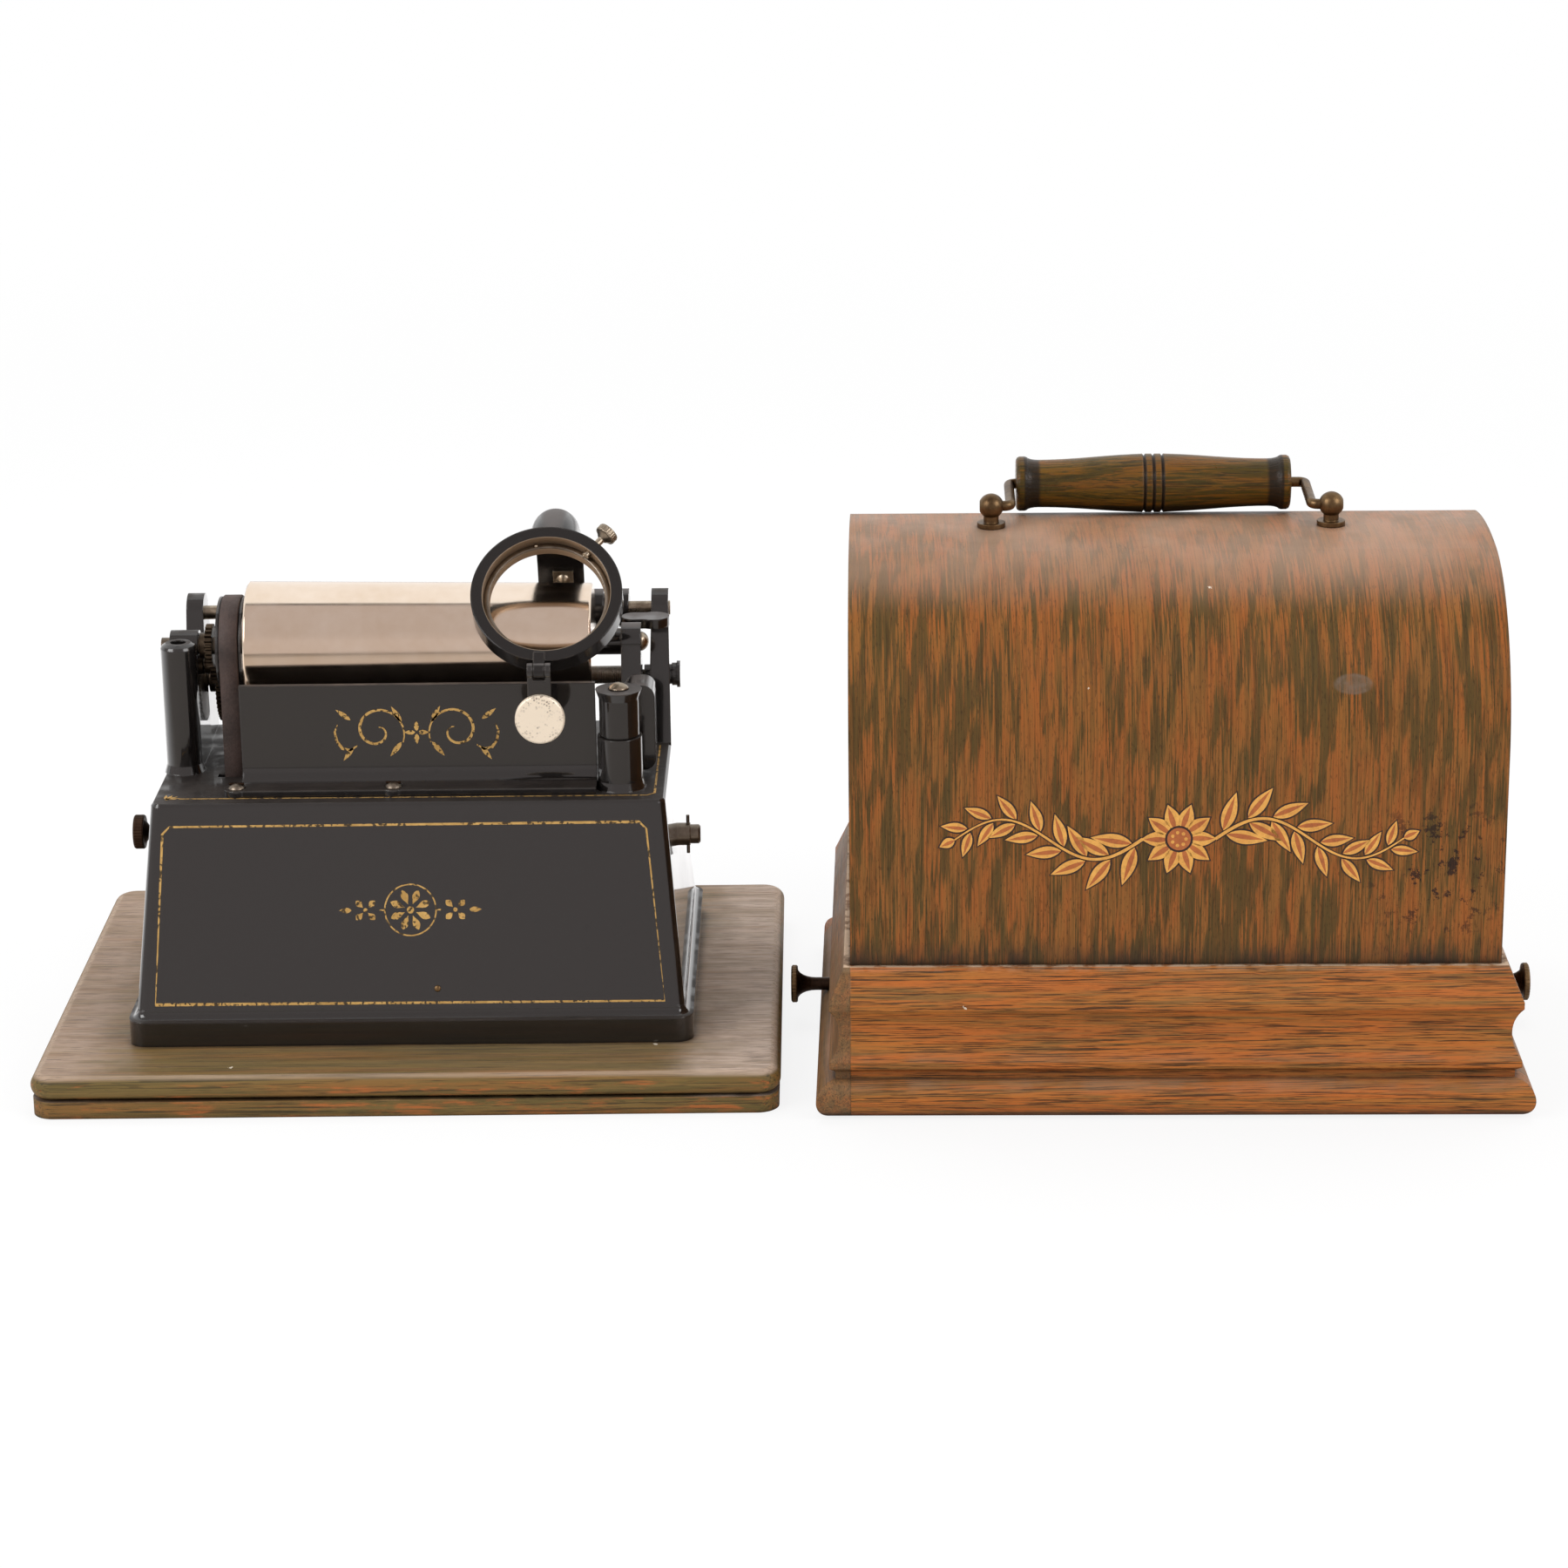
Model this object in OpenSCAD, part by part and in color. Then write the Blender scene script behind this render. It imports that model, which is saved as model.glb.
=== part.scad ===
// Table-top cylinder phonograph with its domed carrying lid standing beside it.
// Millimetres, +Z up, front of the machine towards -Y, winding side towards +X.
// The origin is the centre of the underside of the baseboard.

/* [Baseboard] */
// Length of the baseboard along X
board_w = 254; // [246:1:270]
// Depth of the baseboard along Y
board_d = 197; // [190:1:210]
// Thickness of the upper board with the round nose
board_top_t = 8.5; // [7:0.5:11]
// Thickness of the lower board
board_bottom_t = 6; // [5:0.5:9]
// Corner radius of both boards in plan
board_corner_r = 8; // [6:0.5:14]
// How far the lower board stands back from the upper one
board_step = 0.6; // [0.3:0.1:2]

/* [Casting] */
// Length of the foot of the casting
foot_w = 194; // [190:1:200]
// Depth of the foot of the casting
foot_d = 138; // [134:1:146]
// Height of the upright lip of the foot
foot_lip_h = 9; // [7:0.5:12]
// Radius of the cove above the lip
foot_cove_r = 3; // [2:0.25:4]
// Corner radius of the foot in plan
foot_corner_r = 6; // [5:0.5:10]
// Height of the bed above the baseboard
body_h = 80.5; // [78:0.5:90]
// How far each end of the bed stands in from the foot
bed_in = 8.8; // [6:0.1:10]
// Front edge of the bed, ahead of the centre line
bed_front = 48; // [46:0.5:52]
// Back edge of the bed, behind the centre line
bed_back = 47; // [46.5:0.5:52]
// Wall of the casting
wall_t = 4; // [3:0.25:5]
// Thickness of the bed
bed_t = 4.5; // [4:0.25:5]
// Radius of the upright corners of the casting
body_corner_r = 3.5; // [2.5:0.25:5]

/* [Mandrel] */
// Left end of the mandrel, in from the left end of the bed
mandrel_left_in = 30.5; // [29.8:0.1:31]
// Right end of the mandrel, in from the right end of the bed
mandrel_right_in = 25.7; // [24.7:0.1:31.7]
// Radius at the left end
mandrel_big_r = 22.4; // [22:0.1:24]
// Radius at the right end
mandrel_small_r = 20.6; // [19:0.1:21.8]
// Wall of the mandrel
mandrel_wall = 2.2; // [1.5:0.1:3.5]
// Height of the mandrel axis above the bed
axis_h = 42.3; // [41:0.1:44]
// Place of the mandrel axis in depth
axis_y = 2; // [1:0.1:3]
// Radius of the mandrel shaft
shaft_r = 3; // [2.5:0.1:3.5]
// How far the mandrel shaft stands out of the left end of the bed
shaft_out = 0.5; // [-1:0.1:3]
// Running clearance of shafts in their bores
run_gap = 0.05; // [0.02:0.01:0.08]

/* [Belt drive] */
// Radius of both pulleys at the belt
pulley_r = 16.2; // [15:0.1:17.5]
// Height of the pulley flanges over the groove
flange_h = 1; // [0.8:0.1:1.5]
// Thickness of a pulley flange
flange_t = 0.9; // [0.7:0.1:1.1]
// Width of the belt groove
groove_w = 7.2; // [7:0.1:7.4]
// Width of the leather belt
belt_w = 6.5; // [6:0.1:6.7]
// Thickness of the leather belt
belt_t = 1.3; // [1:0.1:1.8]
// Gap between the belt and a pulley
belt_gap = 0.3; // [0.2:0.05:0.4]
// Depth of the motor pulley axis below the bed
drive_drop = 50; // [49.5:0.1:50.5]

/* [Feed train] */
// Tooth module of the feed train
feed_m = 0.6; // [0.58:0.01:0.61]
// Teeth on the mandrel gear
mandrel_teeth = 24; // [24]
// Teeth on the idler gear
idler_teeth = 22; // [22]
// Teeth on the feed screw gear
feed_teeth = 48; // [48]
// Face width of the feed gears
feed_face = 2.5; // [2:0.1:2.6]
// Left face of the feed gears, in from the left end of the bed
feed_gear_in = 15.2; // [15:0.1:15.3]
// Radius of the idler stud
stud_r = 2; // [1.6:0.1:2.4]
// Place of the feed screw in depth
feed_y = 30; // [29.8:0.1:30.5]
// Height of the feed screw above the bed
feed_h = 22; // [21.5:0.1:22.2]
// Outer radius of the feed screw
feed_r = 3.2; // [2.8:0.1:3.6]
// Radius of the feed screw journals
feed_journal_r = 2.4; // [2:0.1:2.6]

/* [Back rod and carriage] */
// Place of the back rod in depth
rod_y = 39; // [38.5:0.1:39.5]
// Height of the back rod above the bed
rod_h = 44.2; // [43.5:0.1:45]
// Radius of the back rod
rod_r = 2.5; // [2.2:0.1:2.9]
// Radius of the rounded ears that hold the rod
ear_r = 7; // [6:0.25:7.5]
// Thickness of the ears
ear_t = 6; // [5:0.25:6.5]
// Outer face of the left ear, in from the left end of the bed
ear_left_in = 3.8; // [3.2:0.1:4.2]
// Inner face of the right ear, in from the right end of the bed
ear_right_in = 6.6; // [6.3:0.1:6.8]
// Left end of the carriage sleeve, in from the right end of the bed
sleeve_in = 64.2; // [60.2:0.1:68.2]
// Length of the carriage sleeve
sleeve_len = 49.5; // [46:0.5:50]
// Outer radius of the carriage sleeve
sleeve_r = 5.4; // [4.6:0.1:5.8]
// Outer radius of the two collars on the sleeve
collar_r = 7; // [6.4:0.1:7.6]
// Thickness of a collar
collar_t = 3.6; // [3:0.1:4]
// Clear length between the two collars
collar_gap = 5.4; // [4.5:0.1:6]
// Middle of the ring, in from the right end of the bed
ring_in = 39.8; // [38.2:0.1:41.2]
// Place of the middle of the ring in depth, at its front face
ring_y = -27; // [-27.5:0.1:-26.5]
// Height of the middle of the ring above the bed, at its front face
ring_h = 67.8; // [67.3:0.1:68.3]
// Upward tilt of the ring's axis, in degrees
ring_tilt = 43.6; // [43:0.1:45]
// Outer radius of the ring
ring_r = 26; // [25.5:0.1:26.5]
// Radius of the seat for the sound box
seat_r = 21.9; // [21:0.1:22.5]
// Radius of the eye behind the seat
eye_r = 19.85; // [19:0.05:20.5]
// Thickness of the ring
ring_t = 8; // [7:0.1:8.5]
// Depth of the seat
seat_depth = 4.5; // [3.5:0.1:5]
// Half the width of the arched arm
arm_half_w = 8.2; // [7.5:0.1:9]
// Radius of the arch at the inner face of the arm
arch_r = 29.5; // [29:0.1:30]
// Place of the centre of the arch in depth
arch_y = 7; // [6.5:0.1:7.5]
// Height of the centre of the arch above the bed
arch_h = 49.2; // [48.8:0.1:49.6]
// Offset of the arm from the middle of the ring
arm_shift = 1.2; // [0:0.1:2]

/* [Lift lever] */
// Radius of the thumb disc
disc_r = 8.5; // [7.5:0.1:9.5]
// Thickness of the thumb disc
disc_t = 2.2; // [1.6:0.1:3]
// Width of the lever
lever_w = 8; // [7:0.1:9]
// Thickness of the lever
lever_t = 2.6; // [2:0.1:3]
// Length of the lever from its pin to the middle of the disc
lever_len = 16.5; // [15.5:0.5:20]
// Radius of the lever pin
lever_pin_r = 1.2; // [1:0.1:1.4]

/* [Straight edge] */
// Left end of the plate, in from the left end of the bed
plate_left_in = 30.2; // [29.2:0.1:31]
// Right end of the plate, in from the right end of the bed
plate_right_in = 23.8; // [23.7:0.1:29.2]
// Rear face of the plate ahead of the centre line
plate_y = 29; // [28:0.1:29.5]
// Height of the plate above the bed
plate_h = 37; // [35:0.5:38]
// Thickness of the plate
plate_t = 2.4; // [2:0.1:3]
// Depth of the flange ahead of the plate
plate_flange = 12; // [11:0.25:13]
// Thickness of the flange
plate_flange_t = 2.4; // [2:0.1:3]
// Radius of the cove between plate and flange
plate_cove_r = 6; // [4:0.25:7]
// Distance between the two plate screws
plate_screw_pitch = 54; // [50:1:58]
// Head radius of the plate screws
plate_screw_r = 3; // [2.6:0.1:3.2]

/* [Gate] */
// Gate hinge, in from the right end of the bed
gate_in = 15.7; // [15.4:0.1:16]
// Place of the gate hinge ahead of the centre line
gate_y = 32; // [31.8:0.1:32.4]
// Radius of the lower hinge barrel
barrel_low_r = 7.75; // [7.2:0.05:7.9]
// Radius of the upper hinge barrel
barrel_up_r = 6.9; // [6.4:0.1:7]
// Height of the lower hinge barrel above the bed
barrel_low_h = 18.5; // [17:0.25:20]
// Height of the top of the upper hinge barrel above the bed
barrel_up_h = 35; // [34:0.25:36]
// Radius of the hinge pin
gate_pin_r = 2.5; // [2:0.1:3]
// Thickness of the gate's upright arm
gate_arm_t = 6.9; // [6:0.1:7]
// Left face of the gate's upright arm, in from the right end of the bed
gate_arm_in = 15.9; // [15.8:0.1:16]
// Radius of the boss that faces the mandrel
gate_boss_r = 4.6; // [4.2:0.1:5]
// Gap between the boss and the mandrel
gate_boss_gap = 1; // [0.8:0.1:1.5]
// Clear height of the gate above the bed
gate_lift = 2.6; // [2:0.1:4]

/* [Winding and speed] */
// Depth of the winding arbor below the bed
wind_drop = 28.3; // [28.1:0.1:28.5]
// Radius of the winding arbor outside the casting
wind_r = 4; // [3.5:0.1:4.5]
// How far the winding arbor stands out of the casting
wind_out = 8; // [6:0.25:10]
// Depth of the speed screw below the bed
speed_drop = 25.4; // [25.2:0.1:25.8]
// Radius of the knurled head of the speed screw
speed_head_r = 5.8; // [5:0.1:6.4]
// Thickness of the knurled head of the speed screw
speed_head_t = 3.6; // [3:0.1:4]
// Radius of the speed screw
speed_r = 2.2; // [1.8:0.1:2.4]
// Clear length of the speed screw outside the casting
speed_out = 8; // [6:0.25:8.5]

/* [Motor] */
// Tooth module of the great wheel
great_m = 0.75; // [0.74:0.01:0.76]
// Teeth on the great wheel
great_teeth = 56; // [56]
// Teeth on the motor pinions
pinion_teeth = 12; // [12]
// Tooth module of the second wheel
second_m = 0.6; // [0.59:0.01:0.61]
// Teeth on the second wheel
second_teeth = 60; // [60]
// Tooth module of the governor wheel
governor_m = 0.5; // [0.48:0.01:0.52]
// Teeth on the governor wheel
governor_wheel_teeth = 48; // [48]
// Teeth on the governor pinion
governor_pinion_teeth = 12; // [12]
// Thickness of the motor plates
motor_plate_t = 3; // [2.5:0.1:3.4]
// Radius of the motor arbors
arbor_r = 2; // [1.7:0.1:2.1]
// Radius of the motor pillars
pillar_r = 3; // [2.5:0.1:3.5]
// Outer radius of the spring barrel
spring_r = 20; // [19:0.1:20.2]
// Length of the spring barrel
spring_len = 38; // [34:0.5:39]
// Thickness of the mainspring strip
spring_t = 0.5; // [0.4:0.05:0.6]
// Turns of the mainspring
spring_turns = 7; // [4:1:9]
// Radius of the governor disc
governor_r = 9.6; // [9.2:0.1:9.8]

/* [Lid] */
// Gap between the baseboard and the near screw of the lid, where the lid stands
lid_stand = 3.1; // [3:0.1:60]
// Place of the middle of the lid in depth
lid_y = -22; // [-30:0.1:10]
// Turn of the lid about the upright, where it stands, in degrees
lid_turn = -1.1; // [-10:0.1:10]
// How far the lid's box reaches past each end of the casting's foot
lid_room_x = 11.3; // [10.5:0.1:15]
// How far the lid's box reaches past the front and back of the casting's foot
lid_room_y = 6; // [5.8:0.1:9]
// Height of the crest of the lid
lid_h = 183; // [179:0.5:188]
// Radius of the top of the arch
lid_top_r = 170; // [150:1:190]
// Radius of the shoulders of the arch
lid_shoulder_r = 58; // [52:0.5:62]
// Thickness of the bent shell
lid_shell_t = 5.2; // [4.5:0.1:5.6]
// Thickness of the end panels
lid_end_t = 5.5; // [4.5:0.25:5.5]
// How far the foot moulding stands out
moulding_out = 11.7; // [11:0.1:13]
// Height of the foot moulding
moulding_h = 51.5; // [49:0.5:58]
// Height of the round nose at the bottom of the moulding
moulding_nose_h = 13; // [12:0.25:15]

/* [Lid handle] */
// Distance from an end of the grip to the middle of its ball stud
stud_in = 10.5; // [10.4:0.05:13]
// Radius of a ball stud
ball_r = 4.3; // [3.8:0.1:5]
// Height of the ball's middle above the crest
ball_h = 7.2; // [6.5:0.1:9]
// Shift of the handle along the lid from its middle
handle_shift = -2.2; // [-6:0.1:6]
// Radius of the bail wire
wire_r = 1.75; // [1.4:0.05:2]
// Length of the bail from its pivot to the grip
bail_arm = 27; // [25:0.5:30]
// Length of the turned grip
grip_len = 94.5; // [90:0.5:97]
// Radius of the flared ends of the grip
grip_end_r = 9.4; // [9:0.1:10]
// Radius of the middle of the grip
grip_mid_r = 10.1; // [9.5:0.1:10.4]
// Radius of the waist next to the flares
grip_waist_r = 8.2; // [7.4:0.1:8.6]

/* [Lid screws] */
// Height of the lid screws
lid_screw_h = 14; // [13:0.25:15]
// How far the lid screws lie behind the middle of the lid
lid_screw_back = 8; // [0:0.5:14]
// Radius of the trumpet head
lid_knob_r = 6.4; // [6:0.1:7.5]
// Radius of the screw's shank
lid_screw_r = 2.3; // [2:0.1:2.6]
// How far the head stands out of the box of the lid
lid_screw_out = 22; // [20:0.1:24]

/* [Hidden] */
$fn = 64;
eps = 0.01;
seat_gap = 0.3;
board_t = board_bottom_t + board_top_t;
bed_z = board_t + body_h;
bed_under = bed_z - bed_t;
bed_w = foot_w - 2 * bed_in;
bed_left = -bed_w / 2;
bed_right = bed_w / 2;
axis_z = bed_z + axis_h;
foot_top = board_t + foot_lip_h + foot_cove_r;
body_low_w = foot_w - 2 * foot_cove_r;
body_low_d = foot_d - 2 * foot_cove_r;
wall_slope = (body_low_w - bed_w) / 2 / (bed_z - foot_top);

// Half length of the casting's outside at a height
function wall_x(z) = bed_w / 2 + (bed_z - z) * wall_slope;

// Places of the shafts as [y, z]
mandrel_at = [axis_y, axis_z];
feed_at = [feed_y, bed_z + feed_h];
rod_at = [rod_y, bed_z + rod_h];
wind_at = [0, bed_z - wind_drop];
drive_at = [axis_y, bed_z - drive_drop];
speed_at = [0, bed_z - speed_drop];

// Pitch radius of a gear
function pitch_r(m, teeth) = m * teeth / 2;

// Meeting point of two circles, on the left of the way from the first to the second
function circle_meet(a, ra, b, rb) =
    let (d = norm(b - a), u = (b - a) / d, along = (ra * ra - rb * rb + d * d) / (2 * d))
    let (off = sqrt(max(0, ra * ra - along * along)))
    a + along * u + off * [-u[1], u[0]];

// Direction from one shaft to another, in degrees from +Y towards +Z
function heading(a, b) = atan2(b[1] - a[1], b[0] - a[0]);

// Turn of a gear that puts its teeth into the gaps of its neighbour
function mesh_turn(toward, teeth_a, turn_a, teeth_b) =
    toward + 180 + (toward - turn_a) * teeth_a / teeth_b + 180 / teeth_b;

// Shafts that follow from the gears
idler_at = circle_meet(
    feed_at, pitch_r(feed_m, feed_teeth + idler_teeth),
    mandrel_at, pitch_r(feed_m, mandrel_teeth + idler_teeth));
second_at = circle_meet(
    wind_at, pitch_r(great_m, great_teeth + pinion_teeth),
    drive_at, pitch_r(second_m, second_teeth + pinion_teeth));
governor_heading = 158;
governor_reach = pitch_r(governor_m, governor_wheel_teeth + governor_pinion_teeth);
governor_at = drive_at + governor_reach * [cos(governor_heading), sin(governor_heading)];

// Turns of the meshing gears
mandrel_turn = heading(mandrel_at, idler_at);
idler_turn = mesh_turn(mandrel_turn, mandrel_teeth, mandrel_turn, idler_teeth);
feed_turn = mesh_turn(heading(idler_at, feed_at), idler_teeth, idler_turn, feed_teeth);
great_turn = heading(wind_at, second_at);
second_pinion_turn = mesh_turn(great_turn, great_teeth, great_turn, pinion_teeth);
second_turn = heading(second_at, drive_at);
drive_pinion_turn = mesh_turn(second_turn, second_teeth, second_turn, pinion_teeth);
governor_wheel_turn = governor_heading;
governor_turn =
    mesh_turn(governor_heading, governor_wheel_teeth, governor_heading, governor_pinion_teeth);

// Stations along X: those of the drive keep to the left end of the bed, the rest to its right end
mandrel_x = bed_left + mandrel_left_in;
mandrel_end = bed_right - mandrel_right_in;
shaft_x = bed_left - shaft_out;
feed_gear_x = bed_left + feed_gear_in;
ear_left_x = bed_left + ear_left_in;
ear_right_x = bed_right - ear_right_in;
sleeve_x = bed_right - sleeve_in;
ring_x = bed_right - ring_in;
plate_x = bed_left + plate_left_in;
plate_len = bed_w - plate_left_in - plate_right_in;
gate_x = bed_right - gate_in;
gate_arm_x = bed_right - gate_arm_in;
feed_gear_end = feed_gear_x + feed_face;
pulley_gap = 1.1;
pulley_x = mandrel_x - 2 * flange_t - groove_w - pulley_gap;
pulley_end = pulley_x + 2 * flange_t + groove_w;
belt_mid = (pulley_x + pulley_end) / 2;
boss_out = 1;
boss_x = ear_left_x - boss_out;
gear_hub_len = 2.6;
boss_end = feed_gear_x - gear_hub_len;
boss_r = 5.6;
post_r = 6.2;
post_in = 6.8;
post_x = bed_left + post_in;
post_y = -8.6;
post_h = 46.6;
post_bore_r = 2.75;
post_bore_depth = 25;
ear_left_end = ear_left_x + ear_t;
ear_right_end = ear_right_x + ear_t;
motor_left_in = 36.2;
motor_middle_in = 64.2;
motor_right_in = 11.2;
left_plate_x = bed_left + motor_left_in;
middle_plate_x = bed_right - motor_middle_in;
right_plate_x = bed_right - motor_right_in;
motor_front = 34;
motor_back = 38;
motor_low = 22;
great_gap = 3;
great_x = middle_plate_x + motor_plate_t + great_gap;
great_t = 3;
barrel_x = great_x + great_t;
second_in = 10;
second_x = middle_plate_x - second_in;
second_t = 2.5;
governor_in = 16;
governor_disc_x = left_plate_x + governor_in;
governor_run = 26;
governor_wheel_x = governor_disc_x + governor_run;
governor_wheel_t = 2;
governor_disc_t = 2;
ratchet_gap = 0.6;
ratchet_x = right_plate_x + motor_plate_t + ratchet_gap;
ratchet_t = 2.6;
ratchet_r = 10;
ratchet_teeth = 16;
wind_hole_x = wall_x(wind_at[1]);
speed_hole_x = wall_x(speed_at[1]);

// Frame of the carriage ring
ring_z = bed_z + ring_h;
arch_z = bed_z + arch_h;
lever_eye_r = 2.6;
lever_pin_reach = ring_r + lever_eye_r + 0.6;
lever_pin_back = 1;
lever_pin_at = [
    ring_y - lever_pin_reach * sin(ring_tilt) + lever_pin_back * cos(ring_tilt),
    ring_z - lever_pin_reach * cos(ring_tilt) - lever_pin_back * sin(ring_tilt)];
lever_x = ring_x - 2;
clamp_angle = 50;

// Frame of the gate
gate_hinge_y = -gate_y;
gate_low_z = bed_z + barrel_low_h + seat_gap;
gate_top_z = bed_z + barrel_up_h;

// Box and arch of the lid
lid_w = foot_w + 2 * lid_room_x;
lid_d = foot_d + 2 * lid_room_y;
lid_x = board_w / 2 + lid_stand + lid_screw_out + lid_w / 2;
stud_pitch = grip_len + 2 * stud_in;
shoulder_y = lid_d / 2 - lid_shoulder_r;
arch_tilt = asin(shoulder_y / (lid_top_r - lid_shoulder_r));
shoulder_z = lid_h - lid_top_r + (lid_top_r - lid_shoulder_r) * cos(arch_tilt);
bail_z = lid_h + ball_h;
grip_rise =
    sqrt(pow(lid_top_r + max(grip_end_r, grip_mid_r) + seat_gap, 2) - bail_arm * bail_arm) - lid_top_r - ball_h;

// Colours
japan = [0.04, 0.04, 0.045];
nickel = [0.74, 0.70, 0.62];
steel = [0.55, 0.53, 0.50];
brass = [0.66, 0.52, 0.28];
oak = [0.56, 0.33, 0.16];
board_oak = [0.45, 0.38, 0.29];
leather = [0.25, 0.17, 0.13];
bronze = [0.36, 0.26, 0.16];

// Cylinder along X between two stations
module x_rod(from, to, r, at = [0, 0]) {
    translate([from, at[0], at[1]]) rotate([0, 90, 0]) cylinder(r = r, h = to - from);
}

// Cone along X between two stations
module x_cone(from, to, r_from, r_to, at = [0, 0]) {
    translate([from, at[0], at[1]]) rotate([0, 90, 0]) cylinder(r1 = r_from, r2 = r_to, h = to - from);
}

// Flat outline, drawn in Y and Z, given a thickness along X
module x_plate(from, thick) {
    translate([from, 0, 0]) rotate([90, 0, 90]) linear_extrude(thick) children();
}

// Turned form about an X axis: the outline has its radius along X and its station along Y
module x_turned(at = [0, 0]) {
    translate([0, at[0], at[1]]) rotate([0, 90, 0]) rotate_extrude() children();
}

// Toothed outline with straight flanks
module gear_outline(m, teeth) {
    tip_r = pitch_r(m, teeth) + 0.8 * m;
    root_r = pitch_r(m, teeth) - 1.15 * m;
    root_half = 112 / teeth;
    tip_half = 38 / teeth;
    polygon([
        for (i = [0 : teeth - 1])
            for (corner = [[root_r, -root_half], [tip_r, -tip_half], [tip_r, tip_half], [root_r, root_half]])
                let (angle = i * 360 / teeth + corner[1])
                corner[0] * [cos(angle), sin(angle)]]);
}

// Gear on an X shaft, with a bore
module x_gear(from, face, m, teeth, turn, at, bore_r) {
    difference() {
        translate([0, at[0], at[1]]) x_plate(from, face) rotate(turn) gear_outline(m, teeth);
        x_rod(from - 1, from + face + 1, bore_r, at);
    }
}

// Rectangle with round corners, centred
module round_rect(w, d, r) {
    square([w - 2 * r, d], center = true);
    square([w, d - 2 * r], center = true);
    for (sx = [-1, 1], sy = [-1, 1])
        translate([sx * (w / 2 - r), sy * (d / 2 - r)]) circle(r = r);
}

// Slab with a shaped edge: the outline is drawn outward from the centre of a corner
module edged_slab(w, d, r, h) {
    cx = w / 2 - r;
    cy = d / 2 - r;
    translate([-cx, -cy, 0]) cube([2 * cx, 2 * cy, h]);
    for (side = [0 : 3]) {
        long = side % 2 == 0 ? cy : cx;
        reach = side % 2 == 0 ? cx : cy;
        rotate(side * 90) translate([reach, long, 0]) rotate([90, 0, 0]) linear_extrude(2 * long) children();
        rotate(side * 90) translate([reach, long, 0]) rotate_extrude(angle = 90) children();
    }
}

// Low dome with a flat underside
module dome(r, h) {
    ball = (r * r + h * h) / (2 * h);
    rotate_extrude() intersection() {
        translate([0, h - ball]) circle(r = ball);
        square([r, h]);
    }
}

base_screw_in = 7;
base_screw_x = foot_w / 2 - wall_t - base_screw_in;
base_screw_y = foot_d / 2 - wall_t - base_screw_in;
base_screw_r = 2.2;
base_screw_head_r = 4.5;
base_screw_head_t = 2.6;
base_screw_recess = 1;
base_screw_bite = 7;
base_boss_r = 6;
base_boss_h = 11;

module at_base_screws() {
    for (sx = [-1, 1], sy = [-1, 1]) translate([sx * base_screw_x, sy * base_screw_y, 0]) children();
}

module base_screw_holes() {
    at_base_screws() translate([0, 0, -1])
        cylinder(r = base_screw_r + run_gap, h = board_t + base_screw_bite + 2);
}

module baseboard_top() {
    nose = board_top_t / 2;
    color(board_oak) difference() {
        translate([0, 0, board_bottom_t]) edged_slab(board_w, board_d, board_corner_r, board_top_t) {
            union() {
                square([board_corner_r - nose, board_top_t]);
                translate([board_corner_r - nose, nose]) intersection() {
                    circle(r = nose);
                    translate([0, -nose]) square([nose, board_top_t]);
                }
            }
        }
        base_screw_holes();
    }
}

module baseboard_bottom() {
    color(board_oak) difference() {
        linear_extrude(board_bottom_t)
            round_rect(board_w - 2 * board_step, board_d - 2 * board_step, board_corner_r - board_step);
        at_base_screws() translate([0, 0, -1])
            cylinder(r = base_screw_head_r + seat_gap, h = base_screw_recess + base_screw_head_t + 1);
        base_screw_holes();
    }
}

module base_screws() {
    color(steel) at_base_screws() translate([0, 0, base_screw_recess]) {
        cylinder(r = base_screw_head_r, h = base_screw_head_t);
        cylinder(r = base_screw_r, h = board_t + base_screw_bite - base_screw_recess);
    }
}

// Tapered block between the foot and the bed, drawn in by a wall
module tapered_block(wall, low, high) {
    r = body_corner_r;
    low_w = body_low_w / 2 - wall - r;
    low_d = body_low_d / 2 - wall - r;
    edge = 0.8;
    hull() {
        for (sx = [-1, 1], sy = [-1, 1])
            translate([sx * low_w, sy * low_d, low]) cylinder(r = r, h = 0.5, $fn = 32);
        for (sx = [-1, 1], y = [-bed_front + wall + r, bed_back - wall - r])
            translate([sx * (bed_w / 2 - wall - r), y, high - 1]) cylinder(r1 = r, r2 = r - edge, h = 1, $fn = 32);
    }
}

ear_foot_front = 18;
ear_foot_spread = 1.5;
pedestal_front = 10;
pedestal_back = 16;
idler_boss_r = 4.2;

module left_pedestal() {
    hull() {
        x_rod(boss_x, boss_end, boss_r, mandrel_at, $fn = 32);
        x_rod(boss_x, boss_end, idler_boss_r, idler_at, $fn = 32);
        translate([boss_x, axis_y - pedestal_front, bed_z - 1])
            cube([boss_end - boss_x, pedestal_front + pedestal_back, 1]);
    }
}

module rod_ear(from, foot_from, foot_to) {
    hull() {
        x_rod(from, from + ear_t, ear_r, rod_at, $fn = 32);
        translate([foot_from, ear_foot_front, bed_z - 1])
            cube([foot_to - foot_from, bed_back - 1 - ear_foot_front, 1]);
    }
}

post_rim = 0.9;
post_flare = 0.9;
post_flare_h = 3;

module horn_post() {
    translate([post_x, post_y, bed_z - eps]) {
        cylinder(r = post_r, h = post_h - 2 * post_rim);
        translate([0, 0, post_h - 2 * post_rim])
            cylinder(r1 = post_r, r2 = post_r - post_rim / 2, h = post_rim);
        translate([0, 0, post_h - post_rim])
            cylinder(r1 = post_r - post_rim / 2, r2 = post_r - 2 * post_rim, h = post_rim);
        cylinder(r1 = post_r + post_flare, r2 = post_r, h = post_flare_h);
    }
}

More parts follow.
